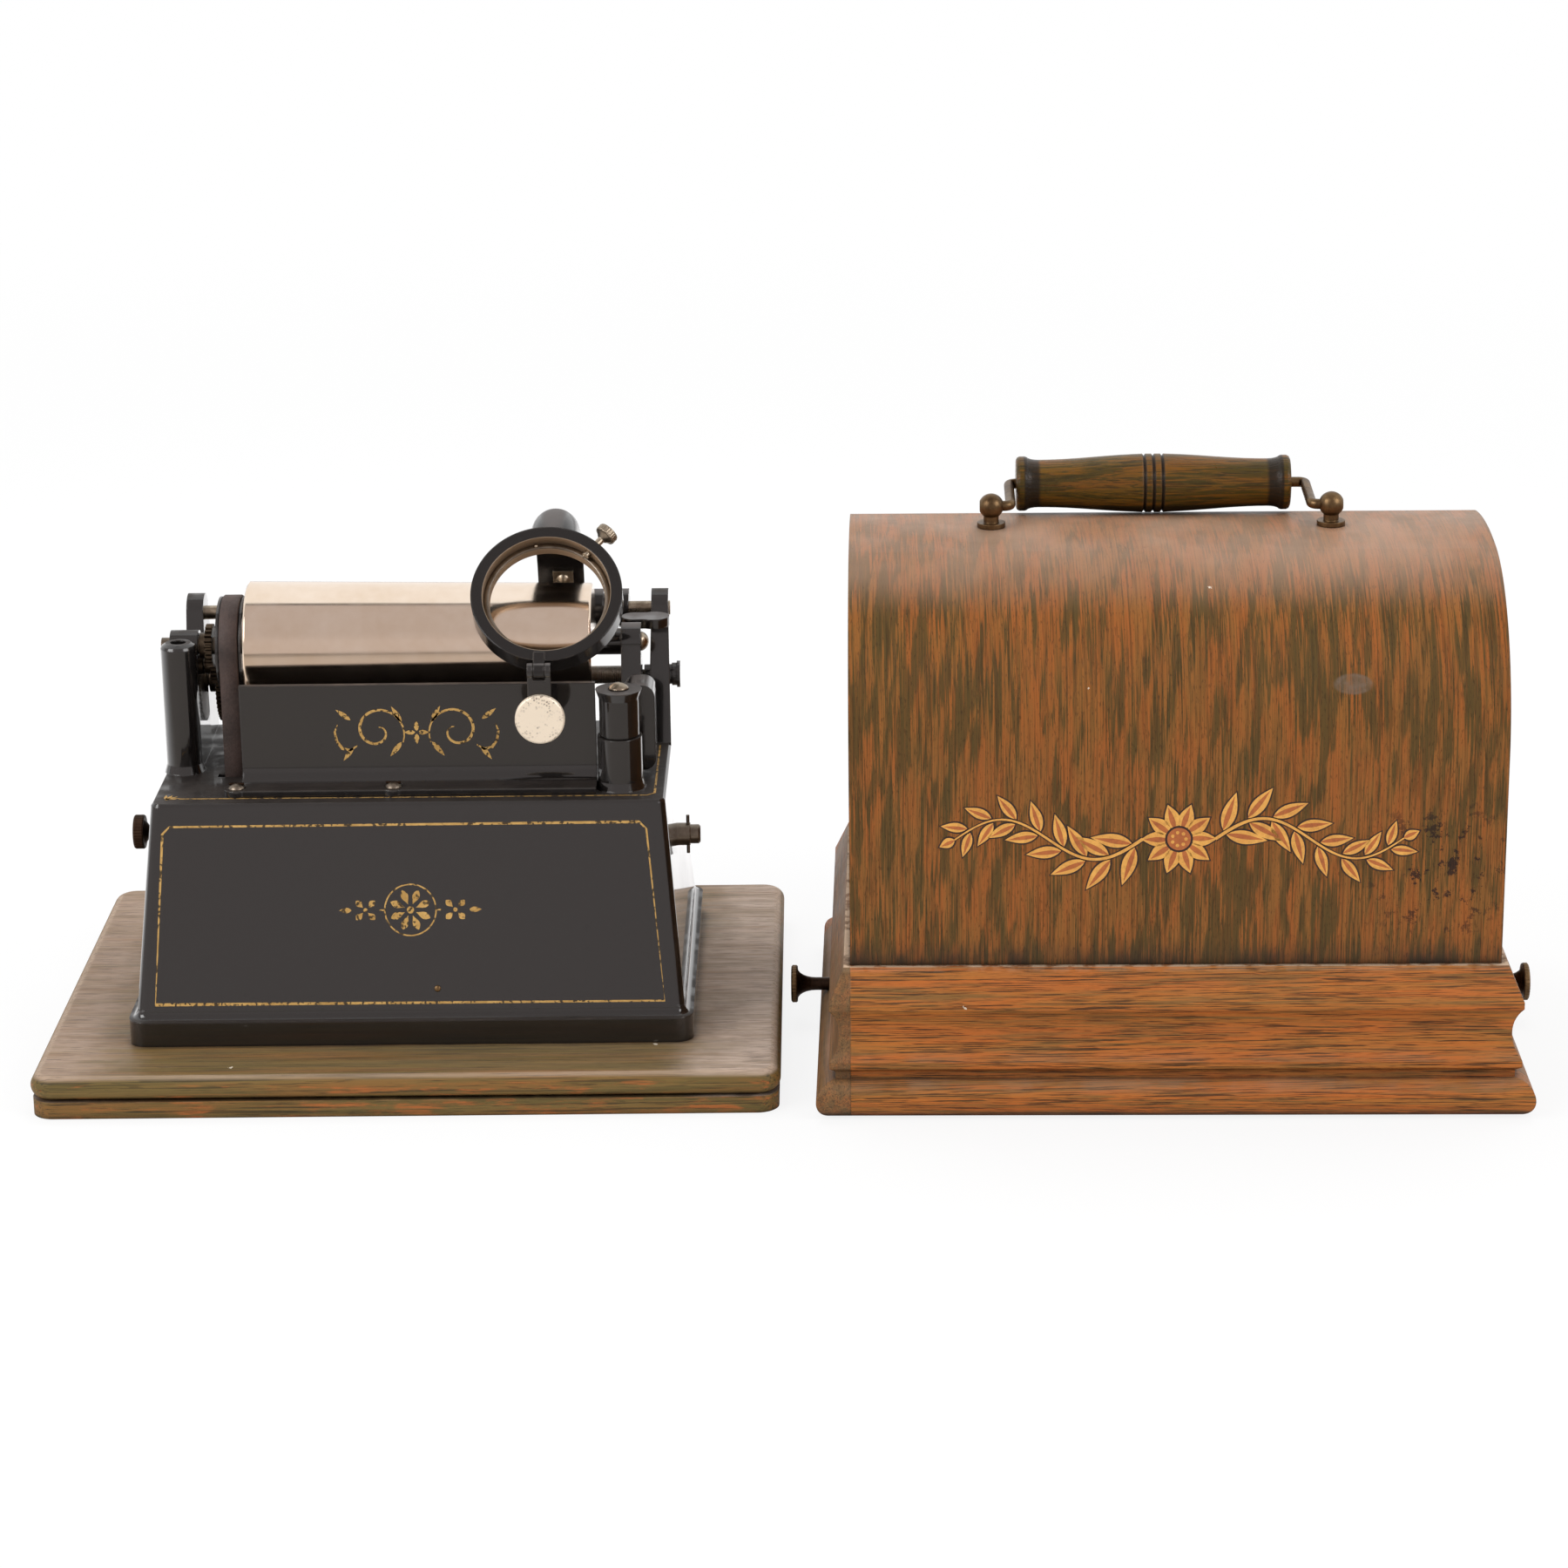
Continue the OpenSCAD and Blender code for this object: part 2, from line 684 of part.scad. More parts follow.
module hinge_barrel() {
    translate([gate_x, gate_hinge_y, bed_z - eps]) {
        cylinder(r = barrel_low_r, h = barrel_low_h);
        cylinder(r1 = barrel_low_r + post_flare, r2 = barrel_low_r, h = post_flare_h);
    }
}

slot_room = 1.2;
plate_screw_out = 1.5;
plate_screw_in = 3.6;
plate_screw_x = plate_x - plate_screw_out;
plate_screw_y = -(plate_y + plate_flange - plate_screw_in);
plate_screw_shank_r = 1.5;
gate_pin_bite = 2;
feed_pivot_r = 3.6;

module belt_slots() {
    run = pulley_r + belt_gap;
    for (side = [-1, 1])
        translate([pulley_x - slot_room, axis_y + side * (run + belt_t / 2) - belt_t / 2 - slot_room, bed_under - 1])
            cube([pulley_end - pulley_x + 2 * slot_room, belt_t + 2 * slot_room, bed_t + 2]);
}

module at_plate_screws() {
    for (i = [0, 1]) translate([plate_screw_x + i * plate_screw_pitch, plate_screw_y, 0]) children();
}

module body_casting() {
    color(japan) difference() {
        union() {
            difference() {
                union() {
                    tapered_block(0, foot_top - 0.5, bed_z);
                    translate([0, 0, board_t])
                        edged_slab(foot_w, foot_d, foot_corner_r, foot_top - board_t) {
                            difference() {
                                square([foot_corner_r, foot_top - board_t]);
                                translate([foot_corner_r, foot_top - board_t]) circle(r = foot_cove_r);
                            }
                        }
                }
                tapered_block(wall_t, board_t - 1, bed_under);
            }
            at_base_screws() translate([0, 0, board_t]) cylinder(r = base_boss_r, h = base_boss_h);
            left_pedestal();
            rod_ear(ear_left_x, ear_left_x, ear_left_end + ear_foot_spread);
            rod_ear(ear_right_x, ear_right_x - ear_foot_spread, bed_right);
            horn_post();
            hinge_barrel();
        }
        base_screw_holes();
        belt_slots();
        x_rod(boss_x - 1, boss_end + 1, shaft_r + run_gap, mandrel_at);
        x_rod(boss_x + 2, boss_end + 1, stud_r + run_gap, idler_at);
        x_rod(ear_left_x - 1, ear_right_end + 1, rod_r + run_gap, rod_at);
        x_rod(ear_left_x - 1, ear_left_end + 3, feed_journal_r + run_gap, feed_at);
        x_rod(ear_right_x - 3, ear_right_end + 3, feed_pivot_r + run_gap, feed_at);
        x_rod(-speed_hole_x - 3, -speed_hole_x + 2 * wall_t, speed_r + run_gap, speed_at);
        x_rod(wind_hole_x - 2 * wall_t, wind_hole_x + 3, wind_r + run_gap, wind_at);
        translate([post_x, post_y, bed_z + post_h - post_bore_depth]) cylinder(r = post_bore_r, h = post_bore_depth + 1);
        translate([gate_x, gate_hinge_y, bed_z + gate_pin_bite]) cylinder(r = gate_pin_r + run_gap, h = barrel_low_h);
        at_plate_screws() translate([0, 0, bed_under - 1]) cylinder(r = plate_screw_shank_r + run_gap, h = bed_t + 2);
    }
}

module straight_edge_outline() {
    translate([-plate_y - plate_t, 0]) square([plate_t, plate_h]);
    translate([-plate_y - plate_flange, 0]) square([plate_flange, plate_flange_t]);
    translate([-plate_y - plate_t - plate_cove_r, plate_flange_t]) difference() {
        square(plate_cove_r);
        translate([0, plate_cove_r]) circle(r = plate_cove_r);
    }
}

plate_ear_r = 4.4;

module straight_edge() {
    color(japan) difference() {
        union() {
            translate([0, 0, bed_z]) x_plate(plate_x, plate_len) straight_edge_outline();
            at_plate_screws() translate([0, 0, bed_z]) cylinder(r = plate_ear_r, h = plate_flange_t);
        }
        at_plate_screws() {
            translate([0, 0, bed_z - 1]) cylinder(r = plate_screw_shank_r + run_gap, h = plate_flange_t + 2);
            translate([0, 0, bed_z + plate_flange_t]) cylinder(r = plate_screw_r + seat_gap, h = plate_cove_r);
        }
    }
}

module straight_edge_screws() {
    color(bronze) at_plate_screws() translate([0, 0, bed_z + plate_flange_t]) {
        dome(plate_screw_r, 1.9);
        translate([0, 0, -plate_flange_t - bed_t]) cylinder(r = plate_screw_shank_r, h = plate_flange_t + bed_t + 0.5);
    }
}

// Belt outline round two equal pulleys
module belt_loop(r) {
    translate(mandrel_at) circle(r = r);
    translate(drive_at) circle(r = r);
    translate([axis_y - r, drive_at[1]]) square([2 * r, axis_z - drive_at[1]]);
}

module drive_belt() {
    color(leather) x_plate(belt_mid - belt_w / 2, belt_w) difference() {
        belt_loop(pulley_r + belt_gap + belt_t);
        belt_loop(pulley_r + belt_gap);
    }
}

module idler_stud() {
    color(steel) x_rod(boss_x + 2, feed_gear_end + 0.3, stud_r, idler_at);
}

feed_thread_gap = 4.5;
feed_thread_in = 10.2;
feed_thread_x = feed_gear_end + feed_thread_gap;
feed_thread_end = bed_right - feed_thread_in;
feed_spigot_r = 1.8;
feed_spigot_len = 6;
pivot_gap = 0.8;
pivot_hub_gap = 0.4;
pivot_x = feed_thread_end + pivot_gap;
pivot_hub_x = bed_right + pivot_hub_gap;

module feed_pivot() {
    color(japan) difference() {
        union() {
            x_rod(pivot_x, pivot_hub_x, feed_pivot_r, feed_at);
            x_rod(pivot_hub_x, pivot_hub_x + 1.8, feed_pivot_r + 0.5, feed_at);
            x_rod(pivot_hub_x + 1.8, pivot_hub_x + 3, feed_pivot_r + 1.2, feed_at);
        }
        x_rod(pivot_x - 1, feed_thread_end + feed_spigot_len + 0.5, feed_spigot_r + run_gap, feed_at);
    }
}

module gate_hinge_pin() {
    color(nickel) translate([gate_x, gate_hinge_y, 0]) {
        translate([0, 0, bed_z + gate_pin_bite]) cylinder(r = gate_pin_r, h = gate_top_z + seat_gap - bed_z - gate_pin_bite);
        translate([0, 0, gate_top_z + seat_gap]) dome(gate_pin_r + 1.1, 2);
    }
}

mandrel_web = 4;
mandrel_hub_r = 6;
mandrel_edge = 0.6;

module mandrel_outline() {
    difference() {
        polygon([
            [shaft_r + run_gap, mandrel_x], [mandrel_big_r - mandrel_edge, mandrel_x],
            [mandrel_big_r, mandrel_x + mandrel_edge], [mandrel_small_r, mandrel_end - mandrel_edge],
            [mandrel_small_r - mandrel_edge, mandrel_end], [shaft_r + run_gap, mandrel_end]]);
        polygon([
            [mandrel_hub_r, mandrel_x + mandrel_web], [mandrel_big_r - mandrel_wall, mandrel_x + mandrel_web],
            [mandrel_small_r - mandrel_wall, mandrel_end - mandrel_web], [mandrel_hub_r, mandrel_end - mandrel_web]]);
    }
}

module mandrel() {
    vent_at = (mandrel_hub_r + mandrel_big_r - mandrel_wall) / 2;
    color(nickel) difference() {
        x_turned(mandrel_at) mandrel_outline();
        for (i = [0 : 2])
            x_rod(mandrel_x - 1, mandrel_x + mandrel_web + 1, 3,
                mandrel_at + vent_at * [cos(i * 120), sin(i * 120)]);
    }
}

centre_tip_x = mandrel_end - 2;
centre_r = 2.2;
centre_slope = 0.75;

module mandrel_shaft() {
    color(steel) difference() {
        x_rod(shaft_x, mandrel_end, shaft_r, mandrel_at);
        x_cone(centre_tip_x - 0.4, mandrel_end + eps, 0.3, 0.3 + (2.4 + eps) * centre_slope, mandrel_at);
    }
}

module pulley_outline(from, to, bore_r) {
    rim = pulley_r + flange_h;
    polygon([
        [bore_r, from], [rim, from], [rim, from + flange_t], [pulley_r, from + flange_t],
        [pulley_r, to - flange_t], [rim, to - flange_t], [rim, to], [bore_r, to]]);
}

module mandrel_pulley() {
    color(japan) x_turned(mandrel_at) pulley_outline(pulley_x, pulley_end, shaft_r + run_gap);
}

gear_hub_r = 4.6;

module mandrel_gear() {
    color(brass) {
        x_gear(feed_gear_x, feed_face, feed_m, mandrel_teeth, mandrel_turn, mandrel_at, shaft_r + run_gap);
        difference() {
            x_rod(boss_end + seat_gap, feed_gear_x, gear_hub_r, mandrel_at);
            x_rod(boss_end, feed_gear_x + 1, shaft_r + run_gap, mandrel_at);
        }
    }
}

module idler_gear() {
    color(brass) {
        x_gear(feed_gear_x, feed_face, feed_m, idler_teeth, idler_turn, idler_at, stud_r + run_gap);
        difference() {
            x_rod(boss_end + seat_gap, feed_gear_x, stud_r + 1.5, idler_at);
            x_rod(boss_end, feed_gear_x + 1, stud_r + run_gap, idler_at);
        }
    }
}

module feed_screw() {
    color(steel) {
        x_rod(ear_left_x, feed_thread_x, feed_journal_r, feed_at);
        x_rod(feed_thread_x, feed_thread_end, feed_r, feed_at);
        x_rod(feed_thread_end, feed_thread_end + feed_spigot_len, feed_spigot_r, feed_at);
    }
}

module feed_gear() {
    color(brass) {
        x_gear(feed_gear_x, feed_face, feed_m, feed_teeth, feed_turn, feed_at, feed_journal_r + run_gap);
        difference() {
            x_rod(ear_left_end + ear_foot_spread + seat_gap, feed_gear_x, gear_hub_r, feed_at);
            x_rod(ear_left_end, feed_gear_x + 1, feed_journal_r + run_gap, feed_at);
        }
    }
}

module back_rod() {
    color(nickel) x_rod(ear_left_x - 0.5, ear_right_end + 0.5, rod_r, rod_at);
}

// Places children in the frame of the ring: X across, Y up the ring, Z out of its front face
module ring_frame() {
    translate([ring_x, ring_y, ring_z]) rotate([90 - ring_tilt, 0, 0]) children();
}

arm_start = -10;
arm_sweep = 123;
arm_x = ring_x + arm_shift;

module arched_arm() {
    translate([arm_x, arch_y, arch_z]) rotate([90, 0, 90]) rotate([0, 0, arm_start])
        rotate_extrude(angle = arm_sweep) {
            translate([arch_r, -arm_half_w]) square([1, 2 * arm_half_w]);
            translate([arch_r + 1, 0]) intersection() {
                circle(r = arm_half_w);
                translate([0, -arm_half_w]) square([arm_half_w, 2 * arm_half_w]);
            }
        }
}

sleeve_end = sleeve_x + sleeve_len;
lever_tongue_w = lever_w / 2 - 0.2;
clamp_r = 1.3;
clamp_z = -2.2;
nut_lug_w = 14;
nut_lug_t = 5;
nut_lug_drop = 10;

module at_clamp() {
    ring_frame() rotate([0, 0, clamp_angle]) translate([0, 0, clamp_z]) rotate([0, 90, 0]) children();
}

module carriage() {
    color(japan) difference() {
        union() {
            x_rod(sleeve_x, sleeve_end, sleeve_r, rod_at);
            for (from = [sleeve_end - collar_t, sleeve_end - 2 * collar_t - collar_gap])
                x_rod(from, from + collar_t, collar_r, rod_at);
            arched_arm();
            ring_frame() translate([0, 0, -ring_t]) cylinder(r = ring_r, h = ring_t);
            ring_frame() x_plate(lever_x - ring_x - lever_tongue_w / 2, lever_tongue_w)
                translate([-lever_pin_reach, -lever_pin_back]) {
                    circle(r = lever_eye_r);
                    translate([0, -2]) square([lever_pin_reach - seat_r - 1, 4]);
                }
            translate([arm_x - nut_lug_w / 2, rod_y - nut_lug_t / 2, rod_at[1] - nut_lug_drop])
                cube([nut_lug_w, nut_lug_t, nut_lug_drop]);
        }
        x_rod(sleeve_x - 1, sleeve_end + 1, rod_r + run_gap, rod_at);
        x_rod(lever_x - lever_w, lever_x + lever_w, lever_pin_r + run_gap, lever_pin_at);
        ring_frame() translate([0, 0, -ring_t - 6]) cylinder(r = eye_r, h = ring_t + 12);
        ring_frame() translate([0, 0, -seat_depth]) cylinder(r = seat_r, h = seat_depth + 6);
        at_clamp() translate([0, 0, eye_r - 1]) cylinder(r = clamp_r + run_gap, h = ring_r);
    }
}

nut_t = 2;
nut_w = 12;
nut_wall = 1.6;
record_r = 28.8;

module half_nut() {
    lug_front = rod_y - nut_lug_t / 2;
    lug_low = rod_at[1] - nut_lug_drop;
    foot = feed_at + [-0.6, feed_r + 0.2];
    color(brass) difference() {
        x_plate(arm_x - nut_w / 2, nut_w) {
            polygon([
                foot, foot + [nut_t, 0], [lug_front, lug_low - 1], [lug_front, lug_low + 6],
                [lug_front - nut_t, lug_low + 6], [lug_front - nut_t, lug_low]]);
            translate(feed_at + [-feed_r - nut_wall, 0.6]) square([feed_r + nut_wall + 1.4, feed_r + 2]);
        }
        x_rod(arm_x - nut_w, arm_x + nut_w, feed_r + seat_gap, feed_at);
        x_rod(arm_x - nut_w, arm_x + nut_w, sleeve_r + seat_gap, rod_at);
        x_rod(arm_x - nut_w, arm_x + nut_w, record_r, mandrel_at);
    }
}

nut_plate_w = 7.2;
nut_plate_t = 1.2;
nut_plate_angle = 14;

module nut_plate() {
    color(brass) translate([arm_x + 0.8, arch_y, arch_z]) rotate([nut_plate_angle, 0, 0]) {
        translate([-nut_plate_w / 2, arch_r - seat_gap - nut_plate_t, -nut_plate_w / 2])
            cube([nut_plate_w, nut_plate_t, nut_plate_w]);
        translate([0, arch_r - seat_gap - nut_plate_t, 0]) rotate([90, 0, 0]) dome(2.3, 1.1);
    }
}

clamp_head_r = 3.65;
clamp_head_t = 2.6;
clamp_neck = 4.2;

module clamp_screw() {
    color(nickel) at_clamp() {
        translate([0, 0, seat_r - 1.6]) cylinder(r = clamp_r, h = ring_r - seat_r + 1.6 + clamp_neck);
        translate([0, 0, ring_r + clamp_neck - 1.8]) cylinder(r1 = clamp_r, r2 = clamp_head_r - 0.4, h = 1.8);
        translate([0, 0, ring_r + clamp_neck]) cylinder(r = clamp_head_r, h = clamp_head_t);
    }
}

lever_gap = 0.2;

module lift_lever() {
    inner = lever_tongue_w / 2 + lever_gap;
    arm_low = lever_pin_at[1] - lever_len - disc_r * 0.4;
    arm_top = lever_pin_at[1] - lever_eye_r - 0.6;
    color(japan) {
        for (side = [-1, 1]) {
            from = side > 0 ? inner : -lever_w / 2;
            x_rod(lever_x + from, lever_x + from + lever_w / 2 - inner, lever_eye_r, lever_pin_at);
            translate([lever_x + from, lever_pin_at[0] - lever_t / 2, arm_top - 1])
                cube([lever_w / 2 - inner, lever_t, lever_eye_r + 1.6]);
        }
        x_rod(lever_x - lever_w / 2, lever_x + lever_w / 2, lever_pin_r, lever_pin_at);
        translate([lever_x - lever_w / 2, lever_pin_at[0] - lever_t / 2, arm_low])
            cube([lever_w, lever_t, arm_top - arm_low]);
    }
}

module thumb_disc() {
    color(nickel) translate([lever_x, lever_pin_at[0] - lever_t / 2, lever_pin_at[1] - lever_len]) rotate([90, 0, 0]) {
        cylinder(r = disc_r, h = disc_t - 0.5);
        translate([0, 0, disc_t - 0.5]) cylinder(r1 = disc_r, r2 = disc_r - 0.5, h = 0.5);
    }
}

gate_leaf_w = 10.4;
gate_leaf_h = 30.4;
gate_leaf_x = gate_x + 1.4;
gate_leaf_front = gate_hinge_y + 10.2;
gate_leaf_back = -8;
gate_head_r = 6.6;
gate_arm_end = gate_arm_x + gate_arm_t;
gate_cap_r = barrel_up_r + 1.1;
gate_cap_h = 3.2;
gate_boss_x = mandrel_end + gate_boss_gap;
latch_z = axis_z + 2.1;
latch_t = 3.4;
latch_pin_x = gate_arm_x + 4.4;
latch_pin_y = axis_y + 12;
latch_pin_r = 1.5;
latch_r = 5.4;
latch_reach = 6.6;
latch_ledge_t = 6;

module gate_leaf() {
    low = bed_z + gate_lift;
    translate([gate_leaf_x + gate_leaf_w / 2, gate_leaf_back, low + gate_leaf_h / 2]) rotate([90, 0, 0])
        linear_extrude(gate_leaf_back - gate_leaf_front) round_rect(gate_leaf_w, gate_leaf_h, 4);
    translate([gate_leaf_x, gate_hinge_y, gate_low_z + 0.4])
        cube([gate_arm_end - gate_leaf_x, gate_leaf_front - gate_hinge_y + 1, low + gate_leaf_h - 3 - gate_low_z]);
}

module gate_arm_outline() {
    foot_z = bed_z + gate_lift + gate_leaf_h - 11;
    translate(mandrel_at) circle(r = gate_head_r);
    polygon([
        [gate_leaf_back - 4, foot_z], [axis_y + 2, foot_z],
        [axis_y + gate_head_r, axis_z], [axis_y - gate_head_r, axis_z]]);
    translate([axis_y, latch_z - latch_ledge_t]) square([latch_pin_y - axis_y + 3.4, latch_ledge_t]);
}

module gate() {
    color(japan) difference() {
        union() {
            translate([gate_x, gate_hinge_y, gate_low_z]) cylinder(r = barrel_up_r, h = gate_top_z - gate_low_z);
            translate([gate_x, gate_hinge_y, gate_top_z - gate_cap_h])
                cylinder(r1 = barrel_up_r, r2 = gate_cap_r, h = gate_cap_h);
            gate_leaf();
            x_plate(gate_arm_x, gate_arm_t) gate_arm_outline();
            x_rod(gate_boss_x, gate_arm_x + 1, gate_boss_r, mandrel_at);
        }
        translate([gate_x, gate_hinge_y, gate_low_z - 1]) cylinder(r = gate_pin_r + run_gap, h = barrel_up_h);
        x_rod(gate_boss_x - 1, gate_arm_end + 1, centre_r + run_gap, mandrel_at);
        translate([latch_pin_x, latch_pin_y, latch_z - latch_ledge_t - 1])
            cylinder(r = latch_pin_r + run_gap, h = latch_ledge_t + 2);
    }
}

module gate_centre() {
    cone_base = centre_tip_x + (centre_r - 0.1) / centre_slope;
    color(nickel) {
        x_cone(centre_tip_x, cone_base, 0.1, centre_r, mandrel_at);
        x_rod(cone_base, gate_arm_end + 0.5, centre_r, mandrel_at);
        translate([gate_arm_end, axis_y, axis_z]) rotate([0, 90, 0]) dome(3.4, 2.6);
    }
}

module gate_latch() {
    color(japan) translate([latch_pin_x, latch_pin_y, latch_z + seat_gap]) {
        cylinder(r = latch_r - 0.6, h = latch_t);
        translate([latch_reach, 0, 0]) cylinder(r = latch_r, h = latch_t);
        translate([0, -latch_r + 0.8, 0]) cube([latch_reach, 2 * latch_r - 1.6, latch_t]);
        translate([0, 0, -latch_ledge_t - seat_gap]) cylinder(r = latch_pin_r, h = latch_ledge_t + 1);
    }
}

brake_back = 5;
brake_x = governor_disc_x - brake_back;
brake_t = 2;
brake_gap = 1.2;
brake_bar_half = 3.5;
brake_pin_y = 14;
brake_pin_r = 1.5;
brake_eye_r = 3.2;

module speed_screw() {
    shank_out = -speed_hole_x - speed_out;
    color(bronze) {
        x_rod(shank_out - speed_head_t, shank_out, speed_head_r, speed_at);
        x_rod(shank_out - 1, brake_x - brake_gap, speed_r, speed_at);
        x_cone(shank_out - eps, shank_out + 1.6, speed_head_r - 1.4, speed_r, speed_at);
    }
}

pillar_places = [
    [-motor_front + 4.5, motor_low + 6], [motor_back - 4.5, motor_low + 6],
    [-motor_front + 4.5, bed_under - 6.5], [motor_back - 4.5, bed_under - 6.5]];

// Side plate of the motor, hung under the bed, with holes given as [place, radius]
module motor_plate(from, holes) {
    difference() {
        translate([from, (motor_back - motor_front) / 2, (motor_low + bed_under) / 2]) rotate([90, 0, 90])
            linear_extrude(motor_plate_t) round_rect(motor_front + motor_back, bed_under - motor_low, 4);
        for (hole = holes) x_rod(from - 1, from + motor_plate_t + 1, hole[1], hole[0]);
    }
}

pillar_spigot_r = pillar_r - 1;

module motor_plate_left() {
    color(steel) {
        motor_plate(left_plate_x, [
            [drive_at, arbor_r + run_gap], [second_at, arbor_r + run_gap],
            [governor_at, governor_shaft_r + run_gap], [speed_at, speed_r + 0.8],
            for (place = pillar_places) [place, pillar_spigot_r + run_gap]]);
        translate([left_plate_x + motor_plate_t, brake_pin_y - 3, speed_at[1] - brake_bar_half - 4.3])
            cube([brake_x + brake_t - left_plate_x - motor_plate_t, 6, 4]);
        translate([brake_x + brake_t / 2, brake_pin_y, speed_at[1] - brake_bar_half - 1.3])
            cylinder(r = brake_pin_r, h = 2 * brake_bar_half + 1.3);
    }
}

module motor_plate_middle() {
    color(steel) motor_plate(middle_plate_x, [
        [drive_at, arbor_r + run_gap], [second_at, arbor_r + 1],
        [governor_at, governor_shaft_r + run_gap], [wind_at, wind_journal_r + run_gap],
        for (place = pillar_places) [place, pillar_r + run_gap]]);
}

module motor_plate_right() {
    color(steel) {
        motor_plate(right_plate_x, [
            [second_at, arbor_r + run_gap], [wind_at, wind_r + run_gap],
            for (place = pillar_places) [place, pillar_spigot_r + run_gap]]);
        x_rod(right_plate_x + motor_plate_t - 0.5, ratchet_x + ratchet_t + 0.4, pawl_pin_r, pawl_at);
    }
}

module motor_pillars() {
    color(steel) for (place = pillar_places) {
        x_rod(left_plate_x + motor_plate_t, right_plate_x, pillar_r, place);
        x_rod(left_plate_x, right_plate_x + motor_plate_t, pillar_spigot_r, place);
    }
}

wind_journal_r = 2.5;
spring_core_r = 5;
barrel_wall = 1.8;
barrel_end = barrel_x + spring_len;
cover_t = 2;

module spring_barrel() {
    color(brass) {
        x_gear(great_x, great_t, great_m, great_teeth, great_turn, wind_at, spring_core_r + run_gap);
        difference() {
            x_rod(barrel_x - eps, barrel_end, spring_r, wind_at);
            x_rod(barrel_x - 1, barrel_end + 1, spring_r - barrel_wall, wind_at);
        }
    }
}

module barrel_cover() {
    color(brass) difference() {
        x_rod(barrel_end - cover_t, barrel_end, spring_r - barrel_wall - run_gap, wind_at);
        x_rod(barrel_end - cover_t - 1, barrel_end + 1, spring_core_r + run_gap, wind_at);
    }
}

module mainspring() {
    from = spring_core_r + 0.8;
    to = spring_r - barrel_wall - seat_gap - spring_t;
    steps = 20 * spring_turns;
    path = [for (i = [0 : steps]) [from + (to - from) * i / steps, 360 * spring_turns * i / steps]];
    color(steel) translate([0, wind_at[0], wind_at[1]]) x_plate(barrel_x + 1, spring_len - cover_t - 2)
        polygon(concat(
            [for (p = path) p[0] * [cos(p[1]), sin(p[1])]],
            [for (i = [steps : -1 : 0]) (path[i][0] + spring_t) * [cos(path[i][1]), sin(path[i][1])]]));
}

wind_end = wind_hole_x + wind_out;
wind_pin_r = 0.6;
wind_pin_half = 7;
wind_end_r = 0.85 * wind_r;
wind_pin_x = wind_hole_x + 0.45 * wind_out;

module winding_arbor() {
    color(steel) {
        x_rod(middle_plate_x, great_x - seat_gap, wind_journal_r, wind_at);
        x_rod(great_x - seat_gap, right_plate_x - seat_gap, spring_core_r, wind_at);
        x_rod(right_plate_x - seat_gap, wind_pin_x + wind_pin_r + 0.2, wind_r, wind_at);
        x_rod(wind_pin_x, wind_end - 0.6, wind_end_r, wind_at);
        x_cone(wind_end - 0.6 - eps, wind_end, wind_end_r, wind_end_r - 0.6, wind_at);
        translate([wind_pin_x, wind_at[0], wind_at[1] - wind_pin_half]) cylinder(r = wind_pin_r, h = 2 * wind_pin_half);
    }
}

module ratchet_wheel() {
    root = ratchet_r - 2;
    color(steel) difference() {
        translate([0, wind_at[0], wind_at[1]]) x_plate(ratchet_x, ratchet_t) polygon([
            for (i = [0 : ratchet_teeth - 1])
                for (corner = [[ratchet_r, 0], [root, 2]])
                    let (angle = i * 360 / ratchet_teeth + corner[1])
                    corner[0] * [cos(angle), sin(angle)]]);
        x_rod(ratchet_x - 1, ratchet_x + ratchet_t + 1, wind_r + run_gap, wind_at);
    }
}

pawl_pin_r = 1.5;
pawl_at = wind_at + [-16, 9.5];
pawl_tip = wind_at + (ratchet_r + 0.4) * [cos(156), sin(156)];

module ratchet_pawl() {
    way = pawl_tip - pawl_at;
    side = [-way[1], way[0]] / norm(way);
    color(steel) difference() {
        x_plate(ratchet_x, ratchet_t) {
            translate(pawl_at) circle(r = pawl_pin_r + 1.7);
            polygon([pawl_at + 2.4 * side, pawl_at - 2.4 * side, pawl_tip]);
        }
        x_rod(ratchet_x - 1, ratchet_x + ratchet_t + 1, pawl_pin_r + run_gap, pawl_at);
    }
}

module second_arbor() {
    color(steel) {
        x_rod(left_plate_x, right_plate_x + motor_plate_t, arbor_r, second_at);
        translate([0, second_at[0], second_at[1]]) x_plate(great_x - 1, great_t + 2)
            rotate(second_pinion_turn) gear_outline(great_m, pinion_teeth);
    }
}

module second_wheel() {
    color(brass) x_gear(second_x, second_t, second_m, second_teeth, second_turn, second_at, arbor_r + run_gap);
}

module drive_arbor() {
    color(steel) {
        x_rod(pulley_x - 2, middle_plate_x + motor_plate_t, arbor_r, drive_at);
        translate([0, drive_at[0], drive_at[1]]) x_plate(second_x - 1, second_t + 2)
            rotate(drive_pinion_turn) gear_outline(second_m, pinion_teeth);
    }
}

module drive_pulley() {
    color(japan) x_turned(drive_at) pulley_outline(pulley_x, pulley_end, arbor_r + run_gap);
}

module governor_wheel() {
    color(brass) x_gear(governor_wheel_x, governor_wheel_t, governor_m, governor_wheel_teeth,
        governor_wheel_turn, drive_at, arbor_r + run_gap);
}

governor_shaft_r = 1.5;
governor_collar_r = 3.6;
governor_spring_run = 19;
governor_collar_x = governor_disc_x + governor_spring_run;
governor_collar_t = 3;
governor_hub_t = 4;
governor_spring_w = 3;
governor_spring_t = 0.5;
governor_bow = 2.6;
governor_weight_r = 2.6;
governor_weight_t = 1.5;

